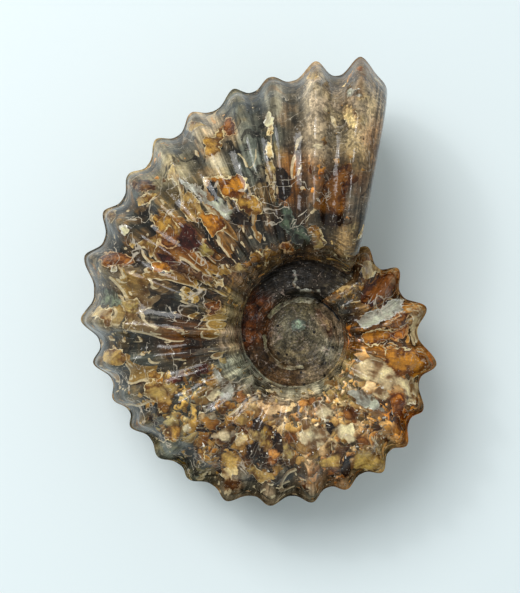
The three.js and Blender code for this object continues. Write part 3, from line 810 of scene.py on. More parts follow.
    ("plum", [(-10.6, -21.4), (-8.4, -20.9), (-7.2, -22.4), (-5.8, -23.0), (-7.2, -24.5), (-10.6, -24.1)]),
    ("plum", [(9.2, -24.1), (10.9, -23.7), (10.7, -25.8), (9.9, -27.8), (8.0, -28.5), (8.5, -26.4)]),
    ("ochre", [(-7.6, -20.5), (-5.4, -20.5), (-4.9, -22.0), (-6.4, -22.9), (-7.7, -22.0)]),
    ("honey", [(-6.9, -18.5), (-5.0, -18.7), (-4.7, -20.2), (-6.7, -20.3)]),
    ("tan", [(-10.2, -19.0), (-7.0, -19.0), (-5.0, -20.4), (-7.0, -20.6), (-9.6, -20.6)]),
    ("cream", [
        (-12.6, -19.6), (-11.0, -18.9), (-9.9, -20.4), (-10.8, -21.7), (-12.0, -22.1), (-12.9, -20.8),
    ]),
    ("sage", [
        (0.3, -19.4), (2.4, -18.7), (4.8, -17.9), (6.1, -18.6), (6.1, -20.2), (5.0, -21.7), (3.4, -22.7),
        (1.6, -22.1), (0.5, -20.8),
    ]),
    ("ochre", [(2.3, -22.3), (4.3, -22.5), (4.1, -24.0), (2.7, -24.3)]),
    ("cream", [(0.5, -16.7), (2.3, -16.9), (2.3, -18.7), (1.3, -18.9)]),
    ("rust", [(-2.7, -19.1), (-0.7, -19.3), (-0.5, -20.8), (-1.8, -21.7), (-2.7, -20.6)]),
    ("sage", [
        (7.2, -18.8), (8.6, -17.5), (10.6, -17.5), (11.5, -19.2), (11.3, -20.8), (10.0, -21.5),
        (8.4, -20.4),
    ]),
    ("honey", [(8.3, -20.3), (9.4, -19.9), (10.3, -21.0), (9.4, -21.9)]),
    ("rust", [(8.7, -15.0), (10.6, -14.1), (12.1, -15.6), (11.5, -17.1), (9.3, -16.9)]),
    ("rust", [(11.5, -19.5), (13.2, -19.4), (13.8, -20.8), (12.0, -21.7)]),
    ("tan", [(5.5, -21.1), (6.9, -20.9), (6.9, -22.9), (5.5, -22.7)]),
    ("gold", [
        (12.0, -22.7), (14.4, -22.7), (16.7, -23.5), (17.3, -25.2), (15.9, -26.7), (13.6, -26.9),
        (11.3, -26.1), (10.9, -24.2),
    ]),
    ("gold", [
        (3.3, -25.1), (5.4, -24.7), (7.8, -23.5), (8.9, -23.9), (8.3, -26.0), (6.6, -26.5), (4.4, -26.1),
    ]),
    ("rust", [(6.2, -26.5), (7.8, -26.4), (7.4, -27.8), (6.2, -27.6)]),
    ("tan", [
        (-2.9, -20.5), (-1.7, -21.7), (-0.7, -23.6), (-0.7, -26.1), (-2.0, -25.9), (-3.2, -24.8),
        (-2.6, -22.8),
    ]),
    ("peach", [(-5.9, -22.7), (-4.3, -22.5), (-3.9, -24.6), (-5.0, -25.9), (-6.3, -25.5), (-5.7, -24.2)]),
    ("ochre", [
        (-14.8, -23.3), (-13.0, -23.1), (-11.3, -24.4), (-11.9, -26.0), (-13.4, -26.6), (-15.3, -26.0),
        (-15.5, -24.6),
    ]),
    ("cream", [
        (-15.1, -26.1), (-13.8, -26.5), (-12.2, -26.3), (-11.7, -27.6), (-13.6, -28.3), (-15.3, -27.8),
    ]),
    ("gold", [
        (-11.4, -25.1), (-9.0, -25.5), (-7.6, -26.7), (-5.0, -27.1), (-4.5, -28.4), (-6.0, -28.9),
        (-8.4, -28.7), (-9.7, -27.1), (-11.3, -26.5),
    ]),
    ("honey", [(-19.8, -22.5), (-18.3, -23.1), (-17.9, -24.2), (-19.4, -24.7), (-20.0, -23.6)]),
    ("cocoa", [
        (-14.8, -28.6), (-12.8, -28.5), (-11.3, -28.0), (-11.3, -30.4), (-13.2, -31.1), (-14.7, -30.4),
    ]),
    ("sage", [
        (-17.5, -20.1), (-15.6, -18.9), (-13.8, -18.4), (-13.3, -20.2), (-13.7, -21.9), (-14.6, -20.7),
        (-16.0, -20.2),
    ]),
    ("gold", [
        (-30.7, -9.5), (-28.8, -8.8), (-26.0, -9.4), (-23.5, -9.7), (-24.3, -11.0), (-25.3, -12.2),
        (-25.7, -13.4), (-28.4, -13.4), (-29.6, -12.8), (-31.1, -11.4),
    ]),
    ("honey", [(-28.7, -13.2), (-27.0, -12.8), (-25.6, -13.3), (-25.9, -14.8), (-27.7, -15.0)]),
    ("garnet", [(-26.5, -8.6), (-24.6, -7.8), (-22.3, -7.5), (-22.6, -9.3), (-25.4, -9.3)]),
    ("honey", [(-30.2, -7.4), (-28.8, -6.6), (-26.8, -7.4), (-27.6, -8.8), (-29.8, -8.8)]),
    ("gold", [(-24.0, -6.8), (-22.6, -6.6), (-22.0, -8.2), (-23.2, -8.8)]),
    ("pearl", [(-18.1, -15.3), (-16.8, -15.2), (-16.3, -16.3), (-17.6, -16.7)]),
    ("pearl", [(-23.0, -17.6), (-21.9, -17.4), (-21.6, -18.5), (-22.8, -18.8)]),
    ("honey", [
        (-26.6, -18.4), (-24.8, -17.5), (-23.4, -18.6), (-23.4, -20.7), (-25.2, -21.2), (-26.9, -20.3),
    ]),
    ("sage", [(-18.4, -10.8), (-17.0, -10.1), (-16.2, -11.6), (-17.0, -13.0), (-18.3, -12.4)]),
    ("ochre", [(-18.4, -8.4), (-17.0, -7.8), (-16.2, -9.2), (-17.2, -10.0), (-18.3, -9.6)]),
    ("honey", [(-16.2, -13.3), (-14.8, -12.9), (-14.1, -14.4), (-14.8, -15.9), (-16.0, -15.3)]),
    ("blood", [(-20.6, -6.2), (-18.6, -5.6), (-18.0, -6.8), (-19.6, -7.6), (-21.2, -7.6)]),
    ("gold", [
        (-39.0, -3.2), (-37.2, -2.2), (-35.2, -2.8), (-34.4, -4.4), (-35.2, -5.6), (-37.2, -6.0),
        (-38.8, -5.2),
    ]),
    ("cream", [(-20.6, -15.4), (-18.8, -15.2), (-18.4, -16.8), (-19.8, -17.2)]),
]
PATCH_REACH = 1.6
FLOOR_PATCHES = [
    # The two pale arcs along the disc's raised rim are painted highlights.
    ("rim_glint", [
        (-6.1, 3.8), (-5.2, 5.2), (-3.6, 6.6), (-1.6, 7.4), (1.0, 7.6), (3.0, 7.2), (2.8, 6.5), (1.0, 6.9),
        (-1.4, 6.7), (-3.2, 5.9), (-4.7, 4.6), (-5.5, 3.5),
    ]),
    ("nacre", [
        (-1.0, 13.2), (-0.6, 13.2), (0.0, 11.4), (-0.8, 10.6), (0.2, 9.9), (2.0, 9.4), (4.5, 9.5),
        (4.5, 9.1), (1.8, 9.0), (-0.2, 9.5), (-1.4, 10.4), (-0.6, 11.6),
    ]),
    ("rim_glint", [
        (-7.1, 0.2), (-6.5, 0.2), (-6.1, -2.1), (-5.0, -4.0), (-3.2, -5.3), (-1.2, -5.9), (1.2, -5.8),
        (1.2, -6.5), (-1.2, -6.8), (-3.7, -6.2), (-5.7, -4.7), (-6.8, -2.3),
    ]),
    ("mud", [
        (3.2, 5.8), (4.4, 5.4), (5.0, 4.2), (6.6, 3.0), (7.0, 0.8), (6.4, -0.6), (5.6, 1.0), (5.0, 2.6),
        (3.8, 4.0),
    ]),
    ("knob", [(-1.4, 3.0), (0.0, 3.4), (1.6, 3.0), (1.4, 1.4), (0.0, 0.6), (-1.2, 1.4)]),
    ("umber", [
        (-8.6, 8.6), (-5.6, 7.8), (-7.2, 5.8), (-8.4, 2.4), (-8.8, -1.2), (-10.6, -3.0), (-11.4, 1.2),
        (-10.6, 5.6),
    ]),
    ("moss", [(-10.4, -0.4), (-9.4, 0.4), (-9.0, -0.8), (-10.0, -1.6)]),
    ("moss", [(-9.6, 4.2), (-8.8, 4.6), (-8.4, 3.6), (-9.2, 3.0)]),
    ("gold", [(-9.0, 11.4), (-7.6, 11.6), (-7.4, 10.6), (-8.6, 10.2)]),
    # The black arc round the top of the disc is painted shadow in the groove.
    ("jet", [
        (-2.8, 8.2), (0.6, 9.2), (4.4, 8.6), (7.4, 6.2), (9.0, 2.8), (8.2, 2.8), (6.4, 5.4), (3.6, 7.4),
        (0.4, 8.0), (-2.0, 7.4),
    ]),
]


def depth_in(outline, points):
    """How far each point lies inside an outline, in mm. It is negative outside."""
    corners = np.array(outline)
    following = np.roll(corners, -1, axis=0)
    nearest = np.full(len(points), np.inf)
    inside = np.zeros(len(points), bool)
    for (ax, ay), (bx, by) in zip(corners, following):
        edge = np.array([bx - ax, by - ay])
        offset = points - (ax, ay)
        share = np.clip(offset @ edge / (edge @ edge), 0, 1)
        nearest = np.minimum(nearest, np.linalg.norm(offset - share[:, None] * edge, axis=1))
        crosses = (ay > points[:, 1]) != (by > points[:, 1])
        if ay != by:
            inside ^= crosses & (points[:, 0] < ax + (points[:, 1] - ay) / (by - ay) * (bx - ax))
    return np.where(inside, nearest, -nearest)


patch_depth = np.full(len(place), -PATCH_REACH)
patch_rim = np.zeros((len(place), 3))
patch_body = np.zeros((len(place), 3))
upward = place[:, 2] > 0
for name, outline in PATCHES + FLOOR_PATCHES:
    low = np.min(outline, axis=0) - PATCH_REACH
    high = np.max(outline, axis=0) + PATCH_REACH
    on_its_own = upward & (in_floor if (name, outline) in FLOOR_PATCHES else ~in_floor)
    near = np.flatnonzero(on_its_own & (seen > low).all(axis=1) & (seen < high).all(axis=1))
    depth = depth_in(outline, seen[near])
    closer = near[depth > patch_depth[near]]
    patch_depth[closer] = depth[depth > patch_depth[near]]
    patch_rim[closer] = colour(PATCH_COLOURS[name][0])
    patch_body[closer] = colour(PATCH_COLOURS[name][1])
store("patch_depth", "FLOAT", patch_depth)
store("patch_rim", "FLOAT_COLOR", patch_rim)
store("patch_body", "FLOAT_COLOR", patch_body)

# --- Polished shell ----------------------------------------------------------------------------------
# Under the polish the shell is worn through to chambers filled with crystal. Blobs of amber with pale
# rims, dark pockets, crumbs of crystal and fine streaks along the ribs all lie under one glassy surface.
PALE_RIM = (0.56, 0.46, 0.28, 1)
PALE_LINE = (0.50, 0.43, 0.33, 1)
WORN_CREST = (0.30, 0.24, 0.15, 1)
DARK = (0.012, 0.009, 0.007, 1)
MOSS = (0.055, 0.062, 0.050, 1)
STONE_IOR = 1.35
POLISH_IOR = 1.40
POLISH_ROUGHNESS = 0.04


def feed(tree, socket, value):
    """Sets a socket to a number or colour, or links another node's output to it."""
    if isinstance(value, bpy.types.NodeSocket):
        tree.links.new(value, socket)
    else:
        socket.default_value = value


def add_node(tree, kind, inputs, **settings):
    """A new node with its inputs fed. The settings are its properties."""
    new = tree.nodes.new(kind)
    for name, value in settings.items():
        setattr(new, name, value)
    for name, value in inputs.items():
        feed(tree, new.inputs[name], value)
    return new


def math_of(tree, operation, *values):
    """One step of arithmetic on numbers and masks."""
    return add_node(tree, "ShaderNodeMath", dict(enumerate(values)), operation=operation).outputs[0]


def times(tree, first, second):
    return math_of(tree, "MULTIPLY", first, second)


def ramp(tree, value, low, high, start=0.0, end=1.0):
    """Goes smoothly from start to end while the value goes from low to high."""
    if low > high:
        low, high, start, end = high, low, end, start
    inputs = {"Value": value, "From Min": low, "From Max": high, "To Min": start, "To Max": end}
    return add_node(tree, "ShaderNodeMapRange", inputs, interpolation_type="SMOOTHSTEP").outputs[0]


def blend(tree, share, under, over, how="MIX"):
    """Lays one colour over another. The share is a number or a mask."""
    mixer = add_node(tree, "ShaderNodeMix", {0: share, 6: under, 7: over}, data_type="RGBA", blend_type=how)
    return mixer.outputs[2]


def tinted(tree, base, tint, share=1.0):
    """A colour multiplied by another colour, or by a brightness."""
    return blend(tree, share, base, tint, "MULTIPLY")


def noise_of(tree, vector, size, detail=2.0, roughness=0.5, distortion=0.0):
    """A soft random value, most often between 0.3 and 0.7, with features of about the size in mm."""
    inputs = {"Vector": vector, "Scale": 1 / size, "Detail": detail, "Roughness": roughness}
    return add_node(tree, "ShaderNodeTexNoise", {**inputs, "Distortion": distortion}).outputs["Fac"]


def vector_of(tree, operation, inputs):
    """One step of arithmetic on places or directions."""
    return add_node(tree, "ShaderNodeVectorMath", inputs, operation=operation).outputs


def stretched(tree, vector, scale):
    return vector_of(tree, "MULTIPLY", {0: vector, 1: scale})[0]


def stored(tree, name, output="Fac"):
    """A value that the mesh keeps for each vertex."""
    return add_node(tree, "ShaderNodeAttribute", {}, attribute_name=name).outputs[output]


def place_in_mm(tree):
    """The place in the solid stone, in mm."""
    coordinates = add_node(tree, "ShaderNodeTexCoord", {}).outputs["Object"]
    return vector_of(tree, "SCALE", {0: coordinates, "Scale": 1 / MM})[0]


def new_group(name, inputs, outputs):
    """An empty node group. Returns its tree, its inputs by name and a function that feeds its outputs."""
    tree = bpy.data.node_groups.new(name, "ShaderNodeTree")
    for direction, sockets in (("INPUT", inputs), ("OUTPUT", outputs)):
        for socket, kind in sockets.items():
            tree.interface.new_socket(socket, in_out=direction, socket_type=kind)
    start = tree.nodes.new("NodeGroupInput")
    end = tree.nodes.new("NodeGroupOutput")
    return tree, start.outputs, lambda name, value: feed(tree, end.inputs[name], value)


def place_group(tree, group, inputs):
    """Puts a node group in a material. Returns its outputs by name."""
    holder = tree.nodes.new("ShaderNodeGroup")
    holder.node_tree = group
    for name, value in inputs.items():
        feed(tree, holder.inputs[name], value)
    return holder.outputs


# Blobs of crystal: warped islands that stand where a noise is above the level of a shore. The same noise
# taken a little aside gives the rim and the middle, so the rim is thicker on one side.
FLOAT, VECTOR = "NodeSocketFloat", "NodeSocketVector"
SHORE_OF_NONE = 0.70
SHORE_OF_ALL = 0.47
ISLAND_ASIDE = (0.35, 0.25, -0.1)
ISLAND_WARP = 1.3
island_group, given, give = new_group(
    "crystal_islands",
    {"Place": VECTOR, "Size": FLOAT, "Amount": FLOAT},
    {"Blob": FLOAT, "Rim": FLOAT, "Middle": FLOAT},
)
per_size = math_of(island_group, "DIVIDE", 1.0, given["Size"])
shore = ramp(island_group, given["Amount"], 0.0, 1.0, SHORE_OF_NONE, SHORE_OF_ALL)
aside = vector_of(island_group, "ADD", {0: given["Place"], 1: ISLAND_ASIDE})[0]
above_shore = []
for vector, roughness in ((given["Place"], 0.45), (aside, 0.5)):
    inputs = {"Vector": vector, "Scale": per_size, "Detail": 2.0, "Roughness": roughness}
    field = add_node(island_group, "ShaderNodeTexNoise", {**inputs, "Distortion": ISLAND_WARP})
    above_shore.append(math_of(island_group, "SUBTRACT", field.outputs["Fac"], shore))
give("Blob", ramp(island_group, above_shore[0], 0.0, 0.008))
give("Rim", ramp(island_group, above_shore[1], 0.020, 0.008))
give("Middle", ramp(island_group, above_shore[1], 0.02, 0.16))

# The polish: soft waves, hair-fine scratches and pinholes, for the height of the surface. The pinholes are
# also painted near black, as painted shade in the holes.
WAVE_SIZE = 2.4
RIPPLE_SIZE = 0.7
RIPPLE_HEIGHT = 0.22
SCRATCH_RUN = (0.3, 4.0, 1.5)
SCRATCH_HEIGHT = 0.06
PIT_CELLS_PER_MM = 0.45
PIT_REACH = 0.22
PIT_DEPTH = 0.4
polish_group, given, give = new_group(
    "polish", {"Place": VECTOR, "Pits": FLOAT}, {"Height": FLOAT, "Pit": FLOAT}
)
soft = noise_of(polish_group, given["Place"], WAVE_SIZE)
fine = noise_of(polish_group, given["Place"], RIPPLE_SIZE, 2.0, 0.6)
lines = noise_of(polish_group, stretched(polish_group, given["Place"], SCRATCH_RUN), 1.0, 1.0)
inputs = {"Vector": given["Place"], "Scale": PIT_CELLS_PER_MM}
holes = add_node(polish_group, "ShaderNodeTexVoronoi", inputs).outputs["Distance"]
pit = math_of(polish_group, "LESS_THAN", holes, times(polish_group, given["Pits"], PIT_REACH))
height = math_of(polish_group, "ADD", soft, times(polish_group, fine, RIPPLE_HEIGHT))
height = math_of(polish_group, "ADD", height, times(polish_group, lines, SCRATCH_HEIGHT))
give("Height", math_of(polish_group, "SUBTRACT", height, times(polish_group, pit, PIT_DEPTH)))
give("Pit", pit)


def stone_material(name, paint, pits, bump_distance):
    """A polished stone. The paint function gives its colour, relief, roughness and gloss."""
    material = bpy.data.materials.new(name)
    material.use_nodes = True
    tree = material.node_tree
    place = place_in_mm(tree)
    polish = place_group(tree, polish_group, {"Place": place, "Pits": pits})
    base, relief, roughness, gloss = paint(tree, place)
    height = math_of(tree, "ADD", polish["Height"], relief)
    bump = add_node(tree, "ShaderNodeBump", {"Height": height, "Strength": 1.0, "Distance": bump_distance})
    # The pinholes are painted near black: painted shade in the holes.
    finish = {
        "Base Color": blend(tree, polish["Pit"], base, DARK),
        "Roughness": roughness,
        "IOR": STONE_IOR,
        "Normal": bump.outputs["Normal"],
        "Specular IOR Level": 0.0,
        "Coat Weight": gloss,
        "Coat Roughness": POLISH_ROUGHNESS,
        "Coat IOR": POLISH_IOR,
        "Coat Normal": bump.outputs["Normal"],
    }
    for socket, value in finish.items():
        feed(tree, tree.nodes["Principled BSDF"].inputs[socket], value)
    return material


def gloss_of(tree, most):
    """The weight of the polish. It fades where hands have dulled the outer edge."""
    return ramp(tree, stored(tree, "dull_edge"), 0.0, 1.0, most, 0.0)


def streaks_of(tree, grain, stretch, warp, low, high, darkest, brightest):
    """The brightness of fine lines. The stretch is how close they lie along the coil and along a rib."""
    lines = noise_of(tree, stretched(tree, grain, stretch), 1.0, 3.0, 0.6, warp)
    return ramp(tree, lines, low, high, darkest, brightest)


def threads_of(tree, place, size, warp, outside, inside):
    """Hair-thin winding lines, where a noise passes through its middle value."""
    crossing = math_of(tree, "SUBTRACT", noise_of(tree, place, size, 3.0, 0.5, warp), 0.5)
    return ramp(tree, math_of(tree, "ABSOLUTE", crossing), outside, inside)


def chances_of(tree, place, grains_per_mm):
    """Small grains side by side: the node itself, and three random numbers for each grain."""
    grains = add_node(tree, "ShaderNodeTexVoronoi", {"Vector": place, "Scale": grains_per_mm})
    return grains, add_node(tree, "ShaderNodeSeparateColor", {0: grains.outputs["Color"]}).outputs


def gritty(tree, place, base, size, darkest, brightest):
    """A colour broken up by fine grit."""
    return tinted(tree, base, ramp(tree, noise_of(tree, place, size, 2.0, 0.6), 0.3, 0.7, darkest, brightest))


# Lit and shaded copies of a patch's colour, and its painted glow: painted light and shade.
PATCH_LIT = (1.50, 1.60, 1.50, 1)
PATCH_SHADED = (0.30, 0.20, 0.14, 1)
PATCH_PAINTED_GLOW = (1.9, 2.1, 1.7, 1)
PATCH_HALO = (0.64, 0.58, 0.52, 1)
CRINKLE_SHARE = 0.55


def paint_patches(tree, place, base, raggedness, softness):
    """Lays the patches over a colour, each with a thin pale rim that is missing where its edge is soft."""
    ragged = math_of(tree, "SUBTRACT", noise_of(tree, place, 2.4, 1.0), 0.5)
    crinkled = math_of(tree, "SUBTRACT", noise_of(tree, place, 1.0, 1.0, 0.5, 0.8), 0.5)
    ragged = math_of(tree, "MULTIPLY_ADD", crinkled, CRINKLE_SHARE, ragged)
    depth = math_of(tree, "MULTIPLY_ADD", ragged, raggedness, stored(tree, "patch_depth"))
    edge = ramp(tree, noise_of(tree, place, 3.0, 1.0, 0.5, 0.5), 0.40, 0.56)
    edge = times(tree, edge, softness)
    rim_width = ramp(tree, noise_of(tree, place, 2.6, 1.0), 0.36, 0.66, -0.06, 0.24)
    past_rim = math_of(tree, "ADD", math_of(tree, "SUBTRACT", depth, rim_width), edge)
    body = stored(tree, "patch_body", "Color")
    # Inside, the patch's own colour is laid over lit and shaded copies of itself by a soft noise: painted
    # light and shade.
    cloud = noise_of(tree, place, 3.4, 2.0, 0.5, 0.7)
    shaded_body = tinted(tree, body, PATCH_SHADED)
    inside = blend(tree, ramp(tree, cloud, 0.36, 0.52), shaded_body, body)
    inside = blend(tree, ramp(tree, cloud, 0.52, 0.66), inside, tinted(tree, body, PATCH_LIT))
    # Amber is clear. It is painted darker where it is thin at its edge and given a painted glow in its
    # middle: painted shade and painted light for light through the crystal.
    brightness = add_node(tree, "ShaderNodeRGBToBW", {"Color": body}).outputs[0]
    clear = ramp(tree, brightness, 0.15, 0.30, 1.0, 0.0)
    uneven = math_of(tree, "MULTIPLY_ADD", ragged, 3.0, depth)
    thin = times(tree, clear, ramp(tree, uneven, 0.75, 0.15, 0.0, 0.7))
    inside = blend(tree, thin, inside, shaded_body)
    glow_share = times(tree, clear, ramp(tree, uneven, 0.6, 1.7, 0.0, 0.8))
    inside = blend(tree, glow_share, inside, tinted(tree, body, PATCH_PAINTED_GLOW))
    inside = blend(tree, ramp(tree, past_rim, 0.0, 0.12), stored(tree, "patch_rim", "Color"), inside)
    base = blend(tree, ramp(tree, depth, -0.8, -0.05), base, tinted(tree, base, PATCH_HALO))
    inward = math_of(tree, "DIVIDE", depth, math_of(tree, "MULTIPLY_ADD", edge, 0.8, 0.05))
    return blend(tree, ramp(tree, inward, -0.7, 1.0), base, inside)


# The crystals' colours, as shares of the gem colour round them. Each is given with the chance at which it
# stands in the palette.
NODULE_SHADES = [
    (0.0, (0.03, 0.02, 0.015)), (0.22, (0.12, 0.08, 0.05)), (0.36, (0.36, 0.33, 0.22)),
    (0.50, (0.62, 0.52, 0.30)), (0.64, (0.52, 0.36, 0.20)), (0.78, (0.54, 0.54, 0.50)),
    (0.92, (0.70, 0.76, 0.86)), (1.0, (1.0, 1.0, 1.0)),
]
NODULE_BRIGHTNESS = (1.7, 1.65, 1.6, 1)
# Each crystal is painted lighter on its side towards this direction and darker on the other: painted light
# and shade.
NODULE_LIGHT_DIRECTION = (-0.6, 0.7, 0.3)
SHADED_SIDE = (0.42, 0.29, 0.17, 1)
LIT_SIDE = (1.75, 1.75, 1.65, 1)
CREAM = (0.62, 0.54, 0.37, 1)


def nodules_of(tree, place, gem, size):
    """Crystals grown into each other: their colours, how far in from a rim, and a chance for each."""
    warp = add_node(tree, "ShaderNodeTexNoise", {"Vector": place, "Scale": 0.8 / size, "Detail": 1.5})
    inputs = {0: warp.outputs["Color"], 1: (2.4 * size,) * 3, 2: place}
    warped = vector_of(tree, "MULTIPLY_ADD", inputs)[0]
    cells, chance = chances_of(tree, warped, 1 / size)
    inputs = {"Vector": warped, "Scale": 1 / size}
    border = add_node(tree, "ShaderNodeTexVoronoi", inputs, feature="DISTANCE_TO_EDGE").outputs["Distance"]
    palette = add_node(tree, "ShaderNodeValToRGB", {0: chance[0]})
    stops = palette.color_ramp.elements
    while len(stops) < len(NODULE_SHADES):
        stops.new(0.5)
    for stop, (position, shade) in zip(stops, NODULE_SHADES):
        stop.position = position
        stop.color = (*shade, 1)
    tone = tinted(tree, gem, palette.outputs[0])
    tone = tinted(tree, tone, NODULE_BRIGHTNESS)
    # Painted light and shade across each crystal, from its lit side to its shaded side.
    offset = vector_of(tree, "SUBTRACT", {0: warped, 1: cells.outputs["Position"]})[0]
    across = vector_of(tree, "DOT_PRODUCT", {0: offset, 1: NODULE_LIGHT_DIRECTION})["Value"]
    lit = ramp(tree, across, -0.45 * size, 0.5 * size)
    tone = tinted(tree, tone, blend(tree, lit, SHADED_SIDE, LIT_SIDE))
    pale = times(tree, ramp(tree, border, 0.09, 0.03), ramp(tree, chance[2], 0.55, 0.65, 0.0, 0.7))
    tone = blend(tree, pale, tone, CREAM)
    tone = blend(tree, ramp(tree, border, 0.035, 0.0, 0.0, 0.85), tone, DARK)
    return tone, ramp(tree, border, 0.0, 0.3), chance[1]


# Sizes of the crystals and blobs in mm, each with the share of the places that it may fill.
NODULE_SIZES = ((0.9, 0.5), (1.5, 0.5), (2.6, 0.45))
NODULE_RELIEF = 0.05
BLOB_SIZES = ((7.0, 1.0), (3.2, 0.8))
BLOB_STRETCH = (1.15, 0.62, 1.0)
BLOB_RELIEF = 0.03
BLOB_DEEP = (0.42, 0.32, 0.22, 1)
# The colour of the painted glints: painted highlights among the crystals.
PAINTED_GLINT_COLOUR = (0.84, 0.78, 0.66, 1)
EDGE_SHADE = (0.88, 0.76, 0.62, 1)
SCRATCH_DIRECTIONS = ((0.35, 5.5, 1.0), (3.5, 3.5, 0.3), (5.5, 0.4, 1.0))
SHELL_ROUGHNESS = 0.28
WORN_ROUGHNESS = 0.5


def paint_shell(tree, place):
    """The shell, from its clouded ground up to the scratches, the painted glints and the worn crests."""
    grain = stored(tree, "grain", "Vector")
    ground = stored(tree, "ground", "Color")
    gem = stored(tree, "gem", "Color")
    amount = stored(tree, "gem_amount")
    streaky = stored(tree, "streak_amount")
    wall = stored(tree, "wall")
    outer_edge = stored(tree, "outer_edge")
    loose = ramp(tree, streaky, 0.55, 0.3)
    chunky = times(tree, loose, ramp(tree, wall, 0.0, 1.0, 1.0, 0.4))

    # The ground: clouded, streaked along the ribs, with dark pockets in it. The inner wall is layered.
    base = tinted(tree, ground, ramp(tree, noise_of(tree, place, 5.0), 0.35, 0.65, 0.35, 1.3))
    tint = ramp(tree, noise_of(tree, place, 3.8, 2.0, 0.5, 0.8), 0.45, 0.7, 0.0, 0.5)
    base = blend(tree, tint, base, gem)
    moss = ramp(tree, noise_of(tree, place, 7.0), 0.50, 0.62, 0.0, 0.5)
    smooth = math_of(tree, "SUBTRACT", 1.0, stored(tree, "grain_amount"))
    base = blend(tree, times(tree, moss, smooth), base, MOSS)
    streaks = streaks_of(tree, grain, (1.5, 0.10, 1.0), 0.3, 0.3, 0.7, 0.35, 1.75)
    base = blend(tree, streaky, base, tinted(tree, base, streaks))
    layers = streaks_of(tree, grain, (0.12, 3.0, 1.0), 0.4, 0.35, 0.65, 0.5, 1.7)
    base = blend(tree, wall, base, tinted(tree, base, layers))
    strip = streaks_of(tree, grain, (3.4, 0.06, 1.0), 0.2, 0.35, 0.65, 0.45, 1.7)
    base = blend(tree, stored(tree, "mouth_strip"), base, tinted(tree, base, strip))
    pocket = ramp(tree, noise_of(tree, place, 4.2, 2.0, 0.5, 1.2), 0.42, 0.36)
    pocket = times(tree, pocket, math_of(tree, "MULTIPLY_ADD", smooth, 0.6, 0.2))
    pocket = times(tree, pocket, ramp(tree, outer_edge, 0.4, 1.0, 1.0, 0.3))
    base = blend(tree, pocket, base, DARK)
    # Painted light and shade for the relief: lighter on the ribs, darker between them.
    base = tinted(tree, base, ramp(tree, stored(tree, "rib_light_and_shade"), 0.25, 0.95, 1.25, 0.52))

    # Clusters of crystal nodules, large ones over small ones.
    relief = 0.0
    crowd = times(tree, chunky, amount)
    crowd = times(tree, crowd, ramp(tree, outer_edge, 0.15, 0.6, 1.0, 0.3))
    for size, share in NODULE_SIZES:
        nodule, middle, chance = nodules_of(tree, place, gem, size)
        shown = math_of(tree, "LESS_THAN", chance, times(tree, crowd, share))
        shown = times(tree, shown, ramp(tree, middle, 0.0, 0.5, 0.5, 1.0))
        base = blend(tree, shown, base, nodule)
        risen = times(tree, middle, shown)
        relief = math_of(tree, "MULTIPLY_ADD", risen, NODULE_RELIEF * size, relief)
    # Painted glints: tiny pale specks among the crystals stand in for highlights.
    painted_glint = ramp(tree, noise_of(tree, place, 0.8, 1.0, 0.5, 0.6), 0.70, 0.75)
    painted_glint = times(tree, painted_glint, crowd)

    # Blobs of amber in two sizes, drawn out along the ribs, each with a pale rim and a darker middle.
    drawn_out = stretched(tree, grain, BLOB_STRETCH)
    fewer = times(tree, amount, math_of(tree, "SUBTRACT", 1.0, loose))
    for size, share in BLOB_SIZES:
        inputs = {"Place": drawn_out, "Size": size, "Amount": times(tree, fewer, share)}
        blob = place_group(tree, island_group, inputs)
        inside = blend(tree, blob["Middle"], gem, tinted(tree, gem, BLOB_DEEP))
        inside = blend(tree, times(tree, blob["Rim"], 0.8), inside, PALE_RIM)
        base = blend(tree, blob["Blob"], base, inside)
        relief = math_of(tree, "MULTIPLY_ADD", blob["Blob"], BLOB_RELIEF, relief)

    base = paint_patches(tree, place, base, 2.0, times(tree, chunky, 0.45))
    # The painted glints are laid over the patches.
    base = blend(tree, painted_glint, base, PAINTED_GLINT_COLOUR)
    base = blend(tree, times(tree, streaky, 0.5), base, tinted(tree, base, streaks))

    # Pale threads where the chamber walls meet the shell, scratches that double as painted glints, and worn
    # crests.
    thread = threads_of(tree, place, 8.0, 1.6, 0.012, 0.004)
    some = ramp(tree, noise_of(tree, place, 9.0, 1.0), 0.5, 0.56, 0.0, 0.8)
    some = times(tree, some, ramp(tree, chunky, 0.0, 1.0, 1.0, 0.35))
    base = blend(tree, times(tree, thread, some), base, PALE_LINE)
    # Short pale straight lines: partly scratches, partly painted glints.
    scratch_and_glint = 0.0
    for direction in SCRATCH_DIRECTIONS:
        lines = noise_of(tree, stretched(tree, place, direction), 1.0, 1.0)
        scratch_and_glint = math_of(tree, "MAXIMUM", scratch_and_glint, ramp(tree, lines, 0.71, 0.76, 0.0, 0.6))
    base = blend(tree, scratch_and_glint, base, PALE_LINE)
    chance = chances_of(tree, place, 2.2)[1]
    grains = tinted(tree, base, ramp(tree, chance[0], 0.0, 1.0, 0.4, 1.8), 0.7)
    base = blend(tree, stored(tree, "grain_amount"), base, grains)
    bare = ramp(tree, noise_of(tree, place, 2.2, 3.0, 0.6), 0.46, 0.60)
    worn = times(tree, ramp(tree, stored(tree, "crest"), 0.45, 0.95), bare)
    base = blend(tree, times(tree, worn, 0.5), base, WORN_CREST)
    base = gritty(tree, place, base, 0.45, 0.8, 1.2)
    base = blend(tree, outer_edge, base, tinted(tree, base, EDGE_SHADE))
    roughness = ramp(tree, worn, 0.0, 1.0, SHELL_ROUGHNESS, WORN_ROUGHNESS)
    return base, relief, roughness, gloss_of(tree, 1.0)


mesh.materials.append(stone_material("polished_shell", paint_shell, pits=0.15, bump_distance=0.00018))

